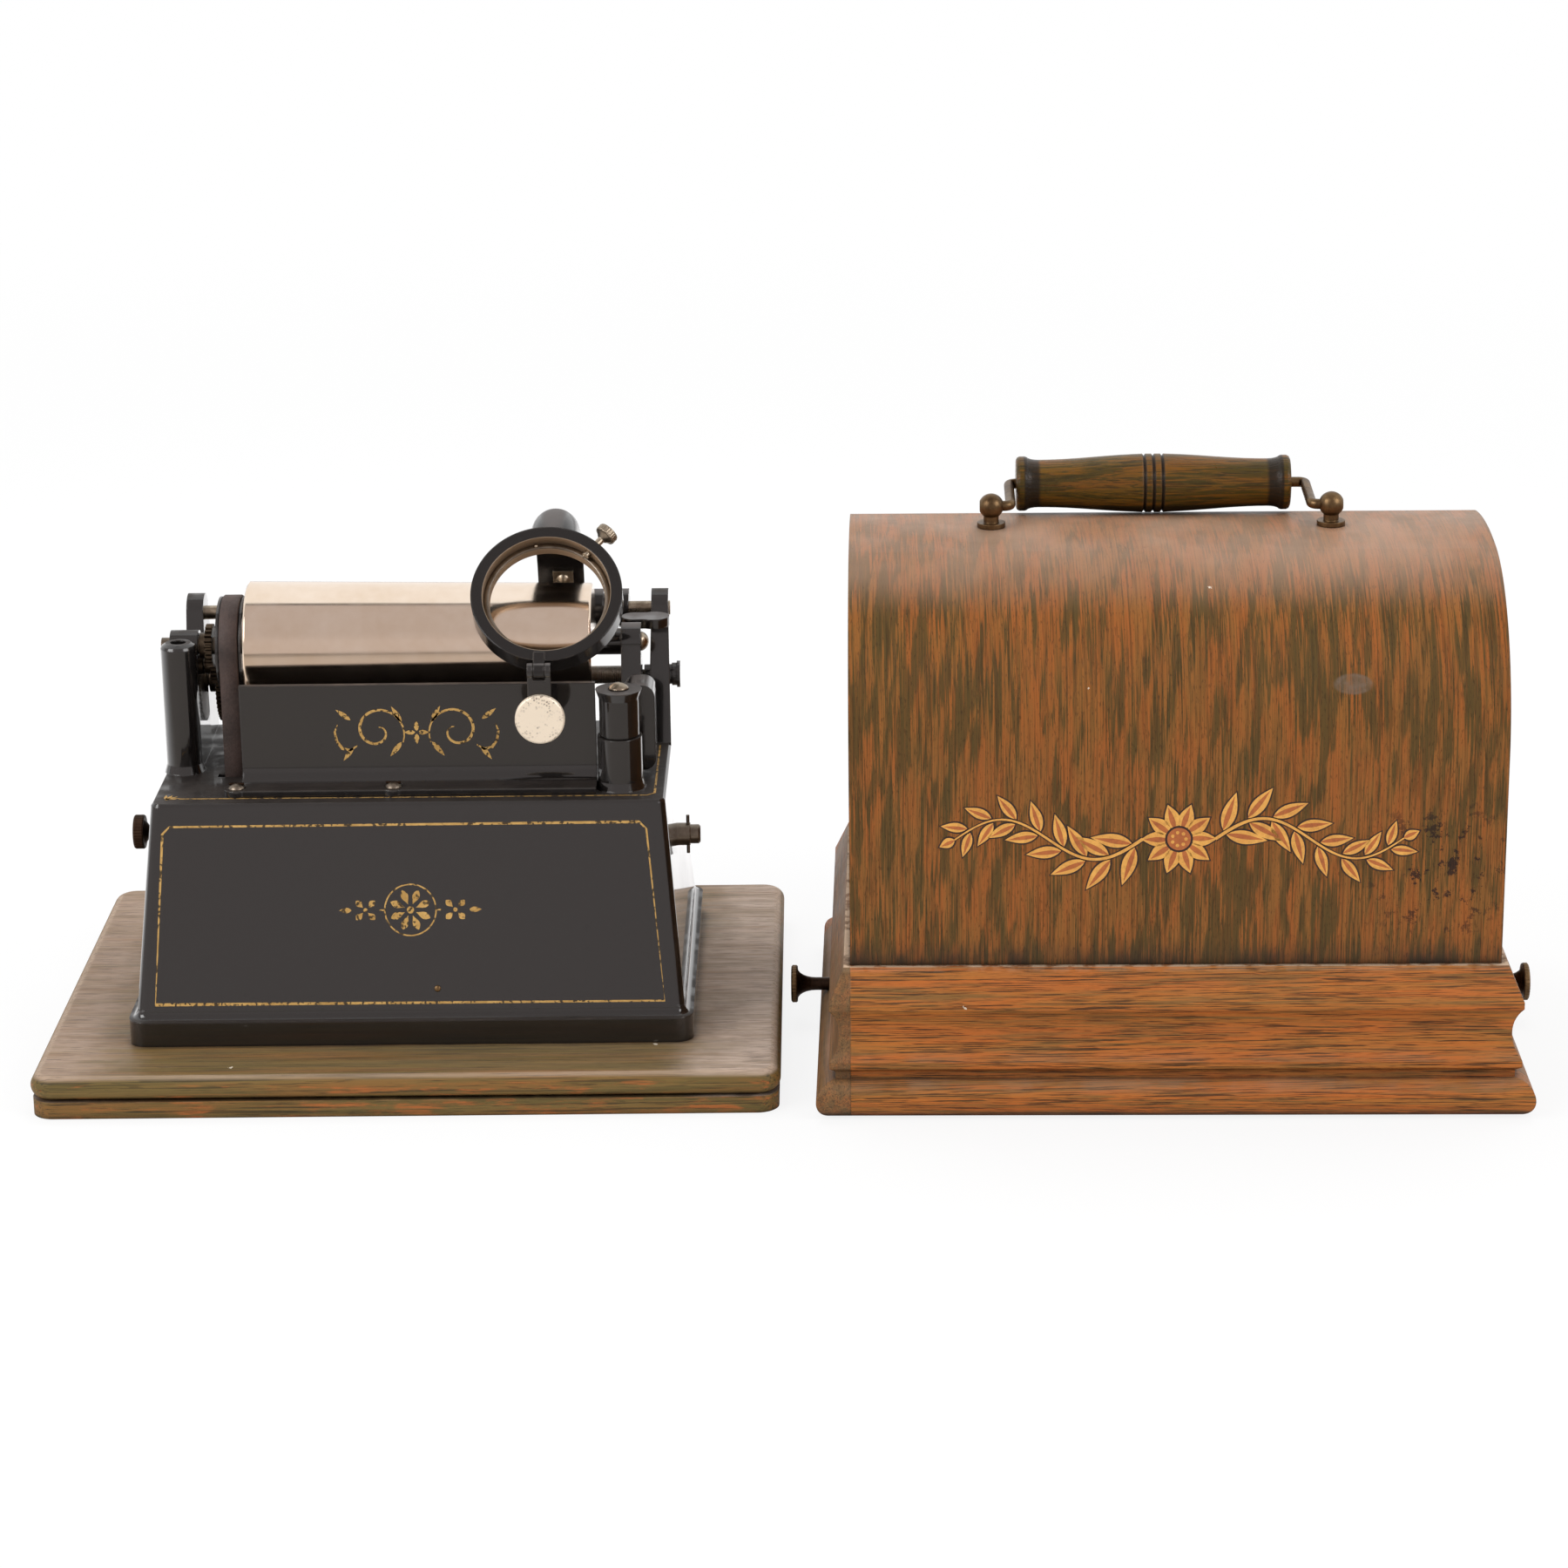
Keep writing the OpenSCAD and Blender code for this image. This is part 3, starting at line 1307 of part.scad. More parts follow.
module governor_shaft() {
    color(steel) {
        x_rod(left_plate_x, middle_plate_x + motor_plate_t, governor_shaft_r, governor_at);
        x_rod(governor_collar_x, governor_collar_x + governor_collar_t, governor_collar_r, governor_at);
        translate([0, governor_at[0], governor_at[1]]) x_plate(governor_wheel_x - 1, governor_wheel_t + 2)
            rotate(governor_turn) gear_outline(governor_m, governor_pinion_teeth);
    }
}

module governor_disc() {
    color(brass) difference() {
        union() {
            x_rod(governor_disc_x, governor_disc_x + governor_disc_t, governor_r, governor_at);
            x_rod(governor_disc_x, governor_disc_x + governor_disc_t + governor_hub_t, governor_collar_r, governor_at);
        }
        x_rod(governor_disc_x - 1, governor_disc_x + governor_disc_t + governor_hub_t + 1,
            governor_shaft_r + run_gap, governor_at);
    }
}

module around_governor() {
    translate([0, governor_at[0], governor_at[1]])
        for (i = [0 : 2]) rotate([i * 120, 0, 0]) children();
}

// Bowed leaf between the disc's hub and the collar, drawn with its radius along Y
module governor_springs() {
    from = governor_disc_x + governor_disc_t + 0.5;
    to = governor_collar_x + governor_collar_t;
    mid = (from + to) / 2;
    low = governor_collar_r + 0.1;
    color(steel) around_governor() translate([0, 0, -governor_spring_w / 2])
        linear_extrude(governor_spring_w) polygon([
            [from, low], [from + 3, low], [mid, low + governor_bow], [to - 3, low], [to, low],
            [to, low + governor_spring_t], [to - 3, low + governor_spring_t],
            [mid, low + governor_bow + governor_spring_t], [from + 3, low + governor_spring_t],
            [from, low + governor_spring_t]]);
}

module governor_weights() {
    from = governor_disc_x + governor_disc_t + 0.5;
    mid = (from + governor_collar_x + governor_collar_t) / 2;
    seat = governor_collar_r + 0.1 + governor_bow + governor_spring_t + 0.05;
    color(brass) around_governor() translate([mid, seat, 0]) rotate([-90, 0, 0])
        cylinder(r = governor_weight_r, h = governor_weight_t);
}

module brake_lever() {
    low = speed_at[1] - brake_bar_half;
    front = governor_at[0] - 3;
    pad_low = governor_at[1] + governor_r - 5;
    color(steel) difference() {
        union() {
            translate([brake_x, front, low]) cube([brake_t, brake_pin_y - front, 2 * brake_bar_half]);
            translate([brake_x, front, pad_low]) cube([brake_t, 6, low - pad_low + 1]);
            translate([brake_x + brake_t / 2, brake_pin_y, low]) cylinder(r = brake_eye_r, h = 2 * brake_bar_half);
            translate([brake_x, front + 0.6, pad_low])
                cube([governor_disc_x - brake_gap - brake_x, 4.8, 4]);
        }
        translate([brake_x + brake_t / 2, brake_pin_y, low - 1])
            cylinder(r = brake_pin_r + run_gap, h = 2 * brake_bar_half + 2);
    }
}

// Places the lid and its fittings, drawn about the lid's own middle, where the lid stands
module on_stand() {
    translate([lid_x, lid_y, 0]) rotate(lid_turn) children();
}

// Arched end outline of the lid, drawn in by an inset, standing on Y
module lid_outline(inset) {
    half = lid_d / 2 - inset;
    crown = lid_h - lid_top_r;
    far = lid_top_r + 10;
    translate([-half, 0]) square([2 * half, shoulder_z]);
    for (side = [-1, 1]) translate([side * shoulder_y, shoulder_z]) circle(r = lid_shoulder_r - inset);
    intersection() {
        translate([0, crown]) circle(r = lid_top_r - inset, $fn = 128);
        polygon([[0, crown], [far * tan(arch_tilt), crown + far], [-far * tan(arch_tilt), crown + far]]);
        translate([-half, 0]) square([2 * half, lid_h]);
    }
}

lid_left = -lid_w / 2;
lid_right = lid_w / 2;
ball_shank_r = 1.5;
ball_bite = 5;

module at_handle_studs() {
    for (side = [-1, 1]) translate([handle_shift + side * stud_pitch / 2, 0, lid_h]) children();
}

module lid_shell() {
    color(oak) on_stand() difference() {
        x_plate(lid_left, lid_w) difference() {
            lid_outline(0);
            lid_outline(lid_shell_t);
            translate([-lid_d / 2 + lid_shell_t, -1]) square([lid_d - 2 * lid_shell_t, 2]);
        }
        at_handle_studs() translate([0, 0, -lid_shell_t - 1]) cylinder(r = ball_shank_r + run_gap, h = lid_shell_t + 2);
    }
}

lid_screw_at = [lid_screw_back, lid_screw_h];

module lid_end(from) {
    difference() {
        x_plate(from, lid_end_t) lid_outline(lid_shell_t + run_gap);
        x_rod(from - 1, from + lid_end_t + 1, lid_screw_r + run_gap, lid_screw_at);
    }
}

module lid_end_left() {
    color(oak) on_stand() lid_end(lid_left);
}

module lid_end_right() {
    color(oak) on_stand() lid_end(lid_right - lid_end_t);
}

moulding_neck = 5.2;
moulding_bead = 7.2;
moulding_top = 2.2;
moulding_bead_h = 4;
moulding_slope_h = 11.5;
moulding_quirk_h = 2.6;
moulding_cove_r = 14.5;
moulding_cove_depth = 3.3;

// Section of the foot moulding, standing out of the wall along X
module moulding_outline() {
    nose = moulding_nose_h / 2;
    low = moulding_nose_h + moulding_quirk_h;
    high = moulding_h - moulding_slope_h;
    difference() {
        polygon([
            [0, 0], [moulding_neck, 0], [moulding_neck, low], [moulding_bead, low + 1.4],
            [moulding_bead, high], [moulding_top, moulding_h], [0, moulding_h]]);
        translate([moulding_bead + moulding_cove_r - moulding_cove_depth, (low + 1.4 + moulding_bead_h + high - moulding_bead_h) / 2])
            circle(r = moulding_cove_r);
    }
    square([moulding_out - nose, moulding_nose_h]);
    translate([moulding_out - nose, nose]) circle(r = nose);
}

// Section across the whole lid
module moulding_section(half) {
    translate([-half, 0]) square([2 * half, moulding_h]);
    for (side = [0, 1]) mirror([side, 0]) translate([half, 0]) moulding_outline();
}

// Mitred foot moulding round the lid's box
module moulding_ring() {
    run = lid_w + lid_d;
    difference() {
        intersection() {
            translate([0, run / 2, 0]) rotate([90, 0, 0]) linear_extrude(run) moulding_section(lid_w / 2);
            translate([-run / 2, 0, 0]) rotate([90, 0, 90]) linear_extrude(run) moulding_section(lid_d / 2);
        }
        translate([-lid_w / 2, -lid_d / 2, -1]) cube([lid_w, lid_d, moulding_h + 2]);
    }
}

// One length of the moulding: butted at its first end, running past the corner at its other
module moulding_length(centre, size) {
    color(oak) on_stand() difference() {
        intersection() {
            moulding_ring();
            translate([centre[0] - size[0] / 2, centre[1] - size[1] / 2, -1])
                cube([size[0], size[1], moulding_h + 2]);
        }
        x_rod(lid_left - 2 * moulding_out, lid_right + 2 * moulding_out, lid_screw_r + run_gap, lid_screw_at);
    }
}

moulding_room = moulding_out + 2;

module lid_moulding_front() {
    moulding_length([moulding_room / 2, -(lid_d + moulding_room) / 2], [lid_w + moulding_room, moulding_room]);
}

module lid_moulding_back() {
    moulding_length([-moulding_room / 2, (lid_d + moulding_room) / 2], [lid_w + moulding_room, moulding_room]);
}

module lid_moulding_left() {
    moulding_length([-(lid_w + moulding_room) / 2, -moulding_room / 2], [moulding_room, lid_d + moulding_room]);
}

module lid_moulding_right() {
    moulding_length([(lid_w + moulding_room) / 2, moulding_room / 2], [moulding_room, lid_d + moulding_room]);
}

stud_flange_r = 4.8;
stud_flange_t = 1.6;
stud_neck_r = 2.6;

module handle_studs() {
    color(bronze) on_stand() at_handle_studs() difference() {
        union() {
            translate([0, 0, -ball_bite]) cylinder(r = ball_shank_r, h = ball_bite + 1);
            cylinder(r = stud_flange_r, h = stud_flange_t);
            cylinder(r = stud_neck_r, h = ball_h);
            translate([0, 0, ball_h]) sphere(r = ball_r);
        }
        translate([-ball_r - 1, 0, ball_h]) rotate([0, 90, 0]) cylinder(r = wire_r + run_gap, h = 2 * ball_r + 2);
    }
}

bail_leg_x = stud_pitch / 2 - ball_r - wire_r - 0.6;
bail_bend_r = 2.3;
bail_at = [0, bail_z];
grip_at = bail_at + [bail_arm, grip_rise];

// One half of the bent wire, lying in X and Y with its pivot on X
module bail_half(length) {
    tip = stud_pitch / 2 + ball_r - 1;
    translate([bail_leg_x + bail_bend_r, 0, 0]) rotate([0, 90, 0])
        cylinder(r = wire_r, h = tip - bail_leg_x - bail_bend_r);
    translate([bail_leg_x + bail_bend_r, bail_bend_r, 0]) rotate(180)
        rotate_extrude(angle = 90) translate([bail_bend_r, 0]) circle(r = wire_r);
    translate([bail_leg_x, bail_bend_r, 0]) rotate([-90, 0, 0])
        cylinder(r = wire_r, h = length - 2 * bail_bend_r);
    translate([bail_leg_x - bail_bend_r, length - bail_bend_r, 0])
        rotate_extrude(angle = 90) translate([bail_bend_r, 0]) circle(r = wire_r);
    translate([0, length, 0]) rotate([0, 90, 0]) cylinder(r = wire_r, h = bail_leg_x - bail_bend_r);
}

module handle_bail() {
    color(bronze) on_stand() translate([handle_shift, bail_at[0], bail_at[1]]) rotate([heading(bail_at, grip_at), 0, 0])
        for (side = [0, 1]) mirror([side, 0, 0]) bail_half(norm(grip_at - bail_at));
}

grip_bore_gap = 0.25;
grip_flare_len = 3.6;
grip_neck_len = 4.2;
grip_steps = 12;
grip_groove_pitch = 3.1;
grip_groove_half = 0.55;
grip_groove_depth = 0.7;
grip_round = 1.2;
grip_slide = -1.4;

// Half of the grip's turned outline, as [radius, distance from the middle]
function grip_swell(t) = grip_waist_r + (grip_mid_r - grip_waist_r) * (0.5 + 0.5 * cos(180 * t));
grip_half = grip_len / 2;
grip_neck = grip_half - grip_flare_len;
grip_body = grip_neck - grip_neck_len;
grip_beads = [
    [grip_mid_r - grip_groove_depth, 0], [grip_mid_r, grip_groove_half],
    [grip_mid_r, grip_groove_pitch - grip_groove_half],
    [grip_mid_r - grip_groove_depth, grip_groove_pitch],
    [grip_mid_r, grip_groove_pitch + grip_groove_half]];
grip_curve = [for (i = [2 : grip_steps]) [grip_swell(i / grip_steps), grip_body * i / grip_steps]];
grip_cove = [for (a = [20 : 20 : 80])
    [grip_waist_r + (grip_end_r - grip_waist_r) * (1 - cos(a)), grip_body + grip_neck_len * sin(a)]];
grip_flare = [
    [grip_end_r, grip_neck + grip_round / 2], [grip_end_r, grip_half - grip_round],
    [grip_end_r - grip_round / 3, grip_half - grip_round / 3], [grip_end_r - grip_round, grip_half]];
grip_side = concat(grip_beads, grip_curve, grip_cove, grip_flare);

module handle_grip() {
    bore = wire_r + grip_bore_gap;
    last = len(grip_side) - 1;
    color(oak) on_stand() translate([handle_shift + grip_slide, 0, 0]) x_turned(grip_at) polygon(concat(
        [[bore, -grip_half]],
        [for (i = [last : -1 : 1]) [grip_side[i][0], -grip_side[i][1]]],
        grip_side,
        [[bore, grip_half]]));
}

lid_knob_rim = 2.2;
lid_knob_throat = 6.5;

// Trumpet-headed screw, its head towards the first station
module lid_screw() {
    head = -lid_screw_out;
    tip = lid_end_t + 2;
    rotate([0, 90, 0]) rotate_extrude() polygon([
        [0, head], [lid_knob_r - 0.5, head], [lid_knob_r, head + 0.5], [lid_knob_r, head + lid_knob_rim],
        for (i = [0 : 6]) let (a = 15 * i)
            [lid_screw_r + (lid_knob_r - 0.8 - lid_screw_r) * (1 - sin(a)),
             head + lid_knob_rim + lid_knob_throat * (1 - cos(a))],
        [lid_screw_r, tip], [0, tip]]);
}

module lid_screw_left() {
    color(bronze) on_stand() translate([lid_left, lid_screw_at[0], lid_screw_at[1]]) lid_screw();
}

module lid_screw_right() {
    color(bronze) on_stand() translate([lid_right, lid_screw_at[0], lid_screw_at[1]]) mirror([1, 0, 0]) lid_screw();
}

baseboard_top();
baseboard_bottom();
base_screws();
body_casting();
straight_edge();
straight_edge_screws();
drive_belt();
idler_stud();
feed_pivot();
gate_hinge_pin();
mandrel();
mandrel_shaft();
mandrel_pulley();
mandrel_gear();
idler_gear();
feed_screw();
feed_gear();
back_rod();
carriage();
half_nut();
nut_plate();
clamp_screw();
lift_lever();
thumb_disc();
gate();
gate_centre();
gate_latch();
speed_screw();
motor_plate_left();
motor_plate_middle();
motor_plate_right();
motor_pillars();
spring_barrel();
barrel_cover();
mainspring();
winding_arbor();
ratchet_wheel();
ratchet_pawl();
second_arbor();
second_wheel();
drive_arbor();
drive_pulley();
governor_wheel();
governor_shaft();
governor_disc();
governor_springs();
governor_weights();
brake_lever();
lid_shell();
lid_end_left();
lid_end_right();
lid_moulding_front();
lid_moulding_back();
lid_moulding_left();
lid_moulding_right();
handle_studs();
handle_bail();
handle_grip();
lid_screw_left();
lid_screw_right();
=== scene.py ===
"""Finishes and fine detail of a table-top cylinder phonograph and its domed oak lid."""
import math

import bmesh
import bpy
from mathutils import Matrix, Vector


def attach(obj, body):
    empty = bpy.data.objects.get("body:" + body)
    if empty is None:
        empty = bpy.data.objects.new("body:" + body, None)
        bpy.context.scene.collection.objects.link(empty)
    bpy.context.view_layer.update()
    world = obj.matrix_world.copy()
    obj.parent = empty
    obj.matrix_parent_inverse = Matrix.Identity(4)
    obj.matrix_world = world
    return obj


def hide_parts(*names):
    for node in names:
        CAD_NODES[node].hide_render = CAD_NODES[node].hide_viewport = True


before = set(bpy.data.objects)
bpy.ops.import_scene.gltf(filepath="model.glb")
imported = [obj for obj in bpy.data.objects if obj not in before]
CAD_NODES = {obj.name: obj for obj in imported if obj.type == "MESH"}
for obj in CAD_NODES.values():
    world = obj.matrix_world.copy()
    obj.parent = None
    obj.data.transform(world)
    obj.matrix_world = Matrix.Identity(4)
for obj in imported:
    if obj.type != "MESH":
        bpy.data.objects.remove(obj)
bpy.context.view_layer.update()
MM = 0.001


# Colours and node trees

def srgb(red, green, blue):
    """Linear colour of a tone written in screen values."""
    def linear(value):
        value /= 255
        return value / 12.92 if value <= 0.04045 else ((value + 0.055) / 1.055) ** 2.4
    return (linear(red), linear(green), linear(blue), 1.0)


class Web:
    """Adds nodes to one tree: a socket is given as a value or as the output that feeds it."""

    def __init__(self, tree):
        self.tree = tree

    def add(self, kind, sockets=None, **settings):
        node = self.tree.nodes.new(kind)
        for name, value in settings.items():
            setattr(node, name, value)
        for name, value in (sockets or {}).items():
            self.feed(node.inputs[name], value)
        return node

    def feed(self, socket, value):
        if isinstance(value, bpy.types.NodeSocket):
            self.tree.links.new(value, socket)
        else:
            socket.default_value = value

    def math(self, operation, a, b=0.0):
        return self.add("ShaderNodeMath", {0: a, 1: b}, operation=operation).outputs[0]

    def times(self, first, *others):
        """Product of two or more values."""
        for other in others:
            first = self.math("MULTIPLY", first, other)
        return first

    def vector(self, operation, a, b=None, output="Vector"):
        """Vector arithmetic; the output "Value" is the number that some operations give."""
        sockets = {0: a} if b is None else {0: a, 1: b}
        return self.add("ShaderNodeVectorMath", sockets, operation=operation).outputs[output]

    def span(self, value, low, high, to_low=0.0, to_high=1.0):
        """Smooth step of a value between two limits."""
        sockets = {"Value": value, "From Min": low, "From Max": high, "To Min": to_low, "To Max": to_high}
        return self.add("ShaderNodeMapRange", sockets, interpolation_type="SMOOTHSTEP").outputs["Result"]

    def blend(self, share, a, b):
        """Mix of two colours, b by its share."""
        node = self.add("ShaderNodeMix", data_type="RGBA")
        self.feed(node.inputs["Factor"], share)
        self.feed(node.inputs["A"], a)
        self.feed(node.inputs["B"], b)
        return node.outputs["Result"]

    def noise(self, vector, scale, detail=3.0, rough=0.55):
        sockets = {"Vector": vector, "Scale": scale, "Detail": detail, "Roughness": rough}
        return self.add("ShaderNodeTexNoise", sockets).outputs["Fac"]

    def place(self):
        """The point on the object, in metres of its own frame."""
        return self.add("ShaderNodeTexCoord").outputs["Object"]

    def parts(self, vector):
        """The three parts of a vector."""
        return self.add("ShaderNodeSeparateXYZ", {0: vector}).outputs

    def axes(self):
        """The three parts of the point on the object."""
        return self.parts(self.place())

    def facing_up(self):
        """How far the face looks up in the object's own frame, from -1 to 1."""
        return self.parts(self.add("ShaderNodeTexCoord").outputs["Normal"])["Z"]

    def stretched(self, vector, scale):
        return self.vector("MULTIPLY", vector, scale)

    def bump(self, height, depth, normal=None):
        sockets = {"Height": height, "Distance": depth, "Strength": 1.0}
        if normal is not None:
            sockets["Normal"] = normal
        return self.add("ShaderNodeBump", sockets).outputs["Normal"]


def effect(name, inputs, outputs):
    """Starts a shader node group; inputs and outputs are names with kinds."""
    tree = bpy.data.node_groups.new(name, "ShaderNodeTree")
    for way, sockets in (("INPUT", inputs), ("OUTPUT", outputs)):
        for label, kind in sockets.items():
            tree.interface.new_socket(label, in_out=way, socket_type=kind)
    web = Web(tree)
    return web, web.add("NodeGroupInput").outputs, web.add("NodeGroupOutput").inputs


FLOAT, COLOUR, VECTOR = "NodeSocketFloat", "NodeSocketColor", "NodeSocketVector"


def make_worn_edges():
    """Rubbed edges, and a normal that rounds them."""
    web, given, result = effect("worn edges", {"Radius": FLOAT, "Patch Scale": FLOAT, "Amount": FLOAT},
                                {"Mask": FLOAT, "Rounded Normal": VECTOR})
    rounded = web.add("ShaderNodeBevel", {"Radius": given["Radius"]}, samples=6).outputs["Normal"]
    flat = web.add("ShaderNodeNewGeometry").outputs["Normal"]
    along = web.vector("DOT_PRODUCT", rounded, flat, "Value")
    edge = web.span(web.math("SUBTRACT", 1.0, along), 0.015, 0.16)
    patches = web.span(web.noise(web.place(), given["Patch Scale"], 5.0, 0.65), 0.48, 0.62)
    web.feed(result["Mask"], web.times(edge, patches, given["Amount"]))
    web.feed(result["Rounded Normal"], rounded)


def make_patina():
    """Cloudy patches of handling, from fine to broad."""
    web, given, result = effect("patina", {"Scale": FLOAT, "Low": FLOAT, "High": FLOAT}, {"Value": FLOAT})
    broad = web.noise(web.place(), given["Scale"], 4.0, 0.6)
    fine = web.noise(web.place(), web.times(given["Scale"], 9.0), 2.0, 0.5)
    both = web.math("ADD", web.times(broad, 0.75), web.times(fine, 0.25))
    limits = {"From Min": 0.32, "From Max": 0.68, "To Min": given["Low"], "To Max": given["High"]}
    web.feed(result["Value"], web.add("ShaderNodeMapRange", {"Value": both, **limits}).outputs["Result"])


def make_specks():
    """Sparse ragged specks: flecks of old paint, pits and dust."""
    web, given, result = effect("specks", {"Scale": FLOAT, "Size": FLOAT, "Share": FLOAT}, {"Mask": FLOAT})
    cells = web.add("ShaderNodeTexVoronoi", {"Vector": web.place(), "Scale": given["Scale"]}).outputs
    ragged = web.noise(web.place(), web.times(given["Scale"], 18.0), 2.0)
    ragged = web.times(web.math("SUBTRACT", ragged, 0.5), web.times(given["Size"], 3.0))
    spot = web.math("LESS_THAN", web.math("ADD", cells["Distance"], ragged), given["Size"])
    lot = web.add("ShaderNodeSeparateColor", {0: cells["Color"]}).outputs[0]
    chosen = web.math("LESS_THAN", lot, given["Share"])
    web.feed(result["Mask"], web.times(spot, chosen))


def make_crevice_shade_and_dirt():
    """Painted shade and old dirt in inner corners, from ambient occlusion."""
    web, given, result = effect("crevice shade and dirt", {"Reach": FLOAT, "Amount": FLOAT}, {"Mask": FLOAT})
    open_sky = web.add("ShaderNodeAmbientOcclusion", {"Distance": given["Reach"]}, samples=6).outputs["AO"]
    cloudy = web.span(web.noise(web.place(), 120.0, 4.0, 0.6), 0.25, 0.55, 0.5, 1.0)
    web.feed(result["Mask"], web.times(web.span(open_sky, 0.80, 0.42), cloudy, given["Amount"]))


def make_settled_dust_and_sheen():
    """Mask of the faces that look up: dust and old oil dull them, and small parts get a painted sheen."""
    web, given, result = effect("settled dust and sheen", {"Scale": FLOAT}, {"Mask": FLOAT})
    cloudy = web.span(web.noise(web.place(), given["Scale"], 3.0), 0.30, 0.62, 0.55, 1.0)
    web.feed(result["Mask"], web.times(web.span(web.facing_up(), 0.80, 0.97), cloudy))


def make_oak_figure():
    """Oak: warm ground, stain patches with ragged ends, fine lines and open pores, all along the grain."""
    web, given, result = effect(
        "oak figure",
        {"Patch Scale": VECTOR, "Strand Scale": VECTOR, "Line Scale": VECTOR, "Cover": FLOAT,
         "Ground": COLOUR, "Warm": COLOUR, "Stain": COLOUR, "Pore": COLOUR,
         "Stain Amount": FLOAT, "Line Amount": FLOAT, "Pore Amount": FLOAT},
        {"Color": COLOUR, "Height": FLOAT})
    place = web.place()
    strand_at = web.stretched(place, given["Strand Scale"])
    patch_at = web.stretched(place, given["Patch Scale"])
    strand = web.noise(strand_at, 1.0, 2.0, 0.6)
    ragged_at = web.vector("ADD", patch_at, web.times(strand, 2.6))
    broad = web.math("SUBTRACT", web.noise(place, 11.0, 2.0, 0.5), 0.5)
    level = web.math("ADD", web.noise(ragged_at, 1.0, 3.0, 0.5), web.times(broad, 0.30))
    level = web.math("ADD", level, given["Cover"])
    stain = web.times(web.span(level, 0.47, 0.57), given["Stain Amount"])
    fine = web.noise(web.stretched(strand_at, (2.3, 2.3, 2.3)), 1.0, 2.0, 0.6)
    line_noise = web.noise(web.stretched(place, given["Line Scale"]), 1.0, 3.0, 0.55)
    line = web.times(web.span(line_noise, 0.54, 0.61), given["Line Amount"])
    pore_noise = web.noise(web.stretched(patch_at, (9.0, 9.0, 9.0)), 1.0, 1.0, 0.5)
    pore = web.times(web.span(pore_noise, 0.62, 0.69), given["Pore Amount"])
    warmth = web.span(web.noise(patch_at, 0.6, 3.0, 0.6), 0.38, 0.62)
    colour = web.blend(warmth, given["Ground"], given["Warm"])
    colour = web.blend(stain, colour, given["Stain"])
    colour = web.blend(web.span(fine, 0.42, 0.70, 0.0, 0.55), colour, given["Stain"])
    colour = web.blend(web.span(fine, 0.48, 0.25, 0.0, 0.22), colour, given["Warm"])
    colour = web.blend(line, colour, given["Pore"])
    web.feed(result["Color"], web.blend(pore, colour, given["Pore"]))
    dents = web.math("ADD", web.times(line, 0.7), pore)
    web.feed(result["Height"], web.math("SUBTRACT", web.times(fine, 0.5), dents))


make_worn_edges()
make_patina()
make_specks()
make_crevice_shade_and_dirt()
make_settled_dust_and_sheen()
make_oak_figure()


def use(web, name, **values):
    """Places one of the shared effects, with spaces in socket names written as underscores."""
    node = web.add("ShaderNodeGroup", node_tree=bpy.data.node_groups[name])
    for label, value in values.items():
        web.feed(node.inputs[label.replace("_", " ")], value)
    return node.outputs


def patina(web, scale, low=0.0, high=1.0):
    """Cloudy value between two limits."""
    return use(web, "patina", Scale=scale, Low=low, High=high)["Value"]


def web_of(owner):
    """Emptied node tree of a material or a world."""
    owner.use_nodes = True
    owner.node_tree.nodes.clear()
    return Web(owner.node_tree)


def finish(name, **constants):
    """A new material with one surface shader; constants go straight on its sockets."""
    material = bpy.data.materials.new(name)
    web = web_of(material)
    sockets = {key.replace("_", " "): value for key, value in constants.items()}
    shader = web.add("ShaderNodeBsdfPrincipled", sockets)
    web.add("ShaderNodeOutputMaterial", {"Surface": shader.outputs[0]})
    return material, web, shader.inputs


# Finishes

DUST_AND_SHEEN_SHARE = 0.55
DULL_ROUGHNESS = 0.45
JAPAN_ROUGHNESS_RANGE = 0.14


def japan_finish(name, wear, shine, coat, dust_and_sheen_tone, turned=None):
    """Glossy black japan over iron, rubbed brown-grey at its edges; turned gives a mask of bare metal."""
    material, web, surface = finish(name, Coat_Roughness=0.03, IOR=1.5)
    worn = use(web, "worn edges", Radius=0.0009, Patch_Scale=75.0, Amount=wear)
    pits = use(web, "specks", Scale=230.0, Size=0.12, Share=0.10)["Mask"]
    bare = web.blend(web.noise(web.place(), 160.0), srgb(58, 48, 42), srgb(104, 92, 82))
    # Up faces take the dust tone: dust on the casting, dust and a painted sheen on the small parts.
    dust_and_sheen = use(web, "settled dust and sheen", Scale=140.0)["Mask"]
    colour = web.blend(web.times(dust_and_sheen, DUST_AND_SHEEN_SHARE), srgb(25, 22, 21), dust_and_sheen_tone)
    colour = web.blend(worn["Mask"], colour, bare)
    dull = dust_and_sheen
    if turned:
        metal = turned(web)
        colour = web.blend(metal, colour, srgb(168, 148, 126))
        dull = web.math("MAXIMUM", dust_and_sheen, metal)
        web.feed(surface["Metallic"], metal)
    web.feed(surface["Base Color"], colour)
    rough = patina(web, 45.0, shine, shine + JAPAN_ROUGHNESS_RANGE)
    web.feed(surface["Roughness"], web.math("ADD", rough, web.times(dull, DULL_ROUGHNESS)))
    web.feed(surface["Coat Weight"], web.times(web.math("SUBTRACT", 1.0, dull), coat))
    lumps = web.noise(web.place(), 260.0, 2.0, 0.5)
    skin = web.math("SUBTRACT", lumps, web.times(pits, 1.2))
    web.feed(surface["Normal"], web.bump(skin, 0.00003, worn["Rounded Normal"]))
    return material


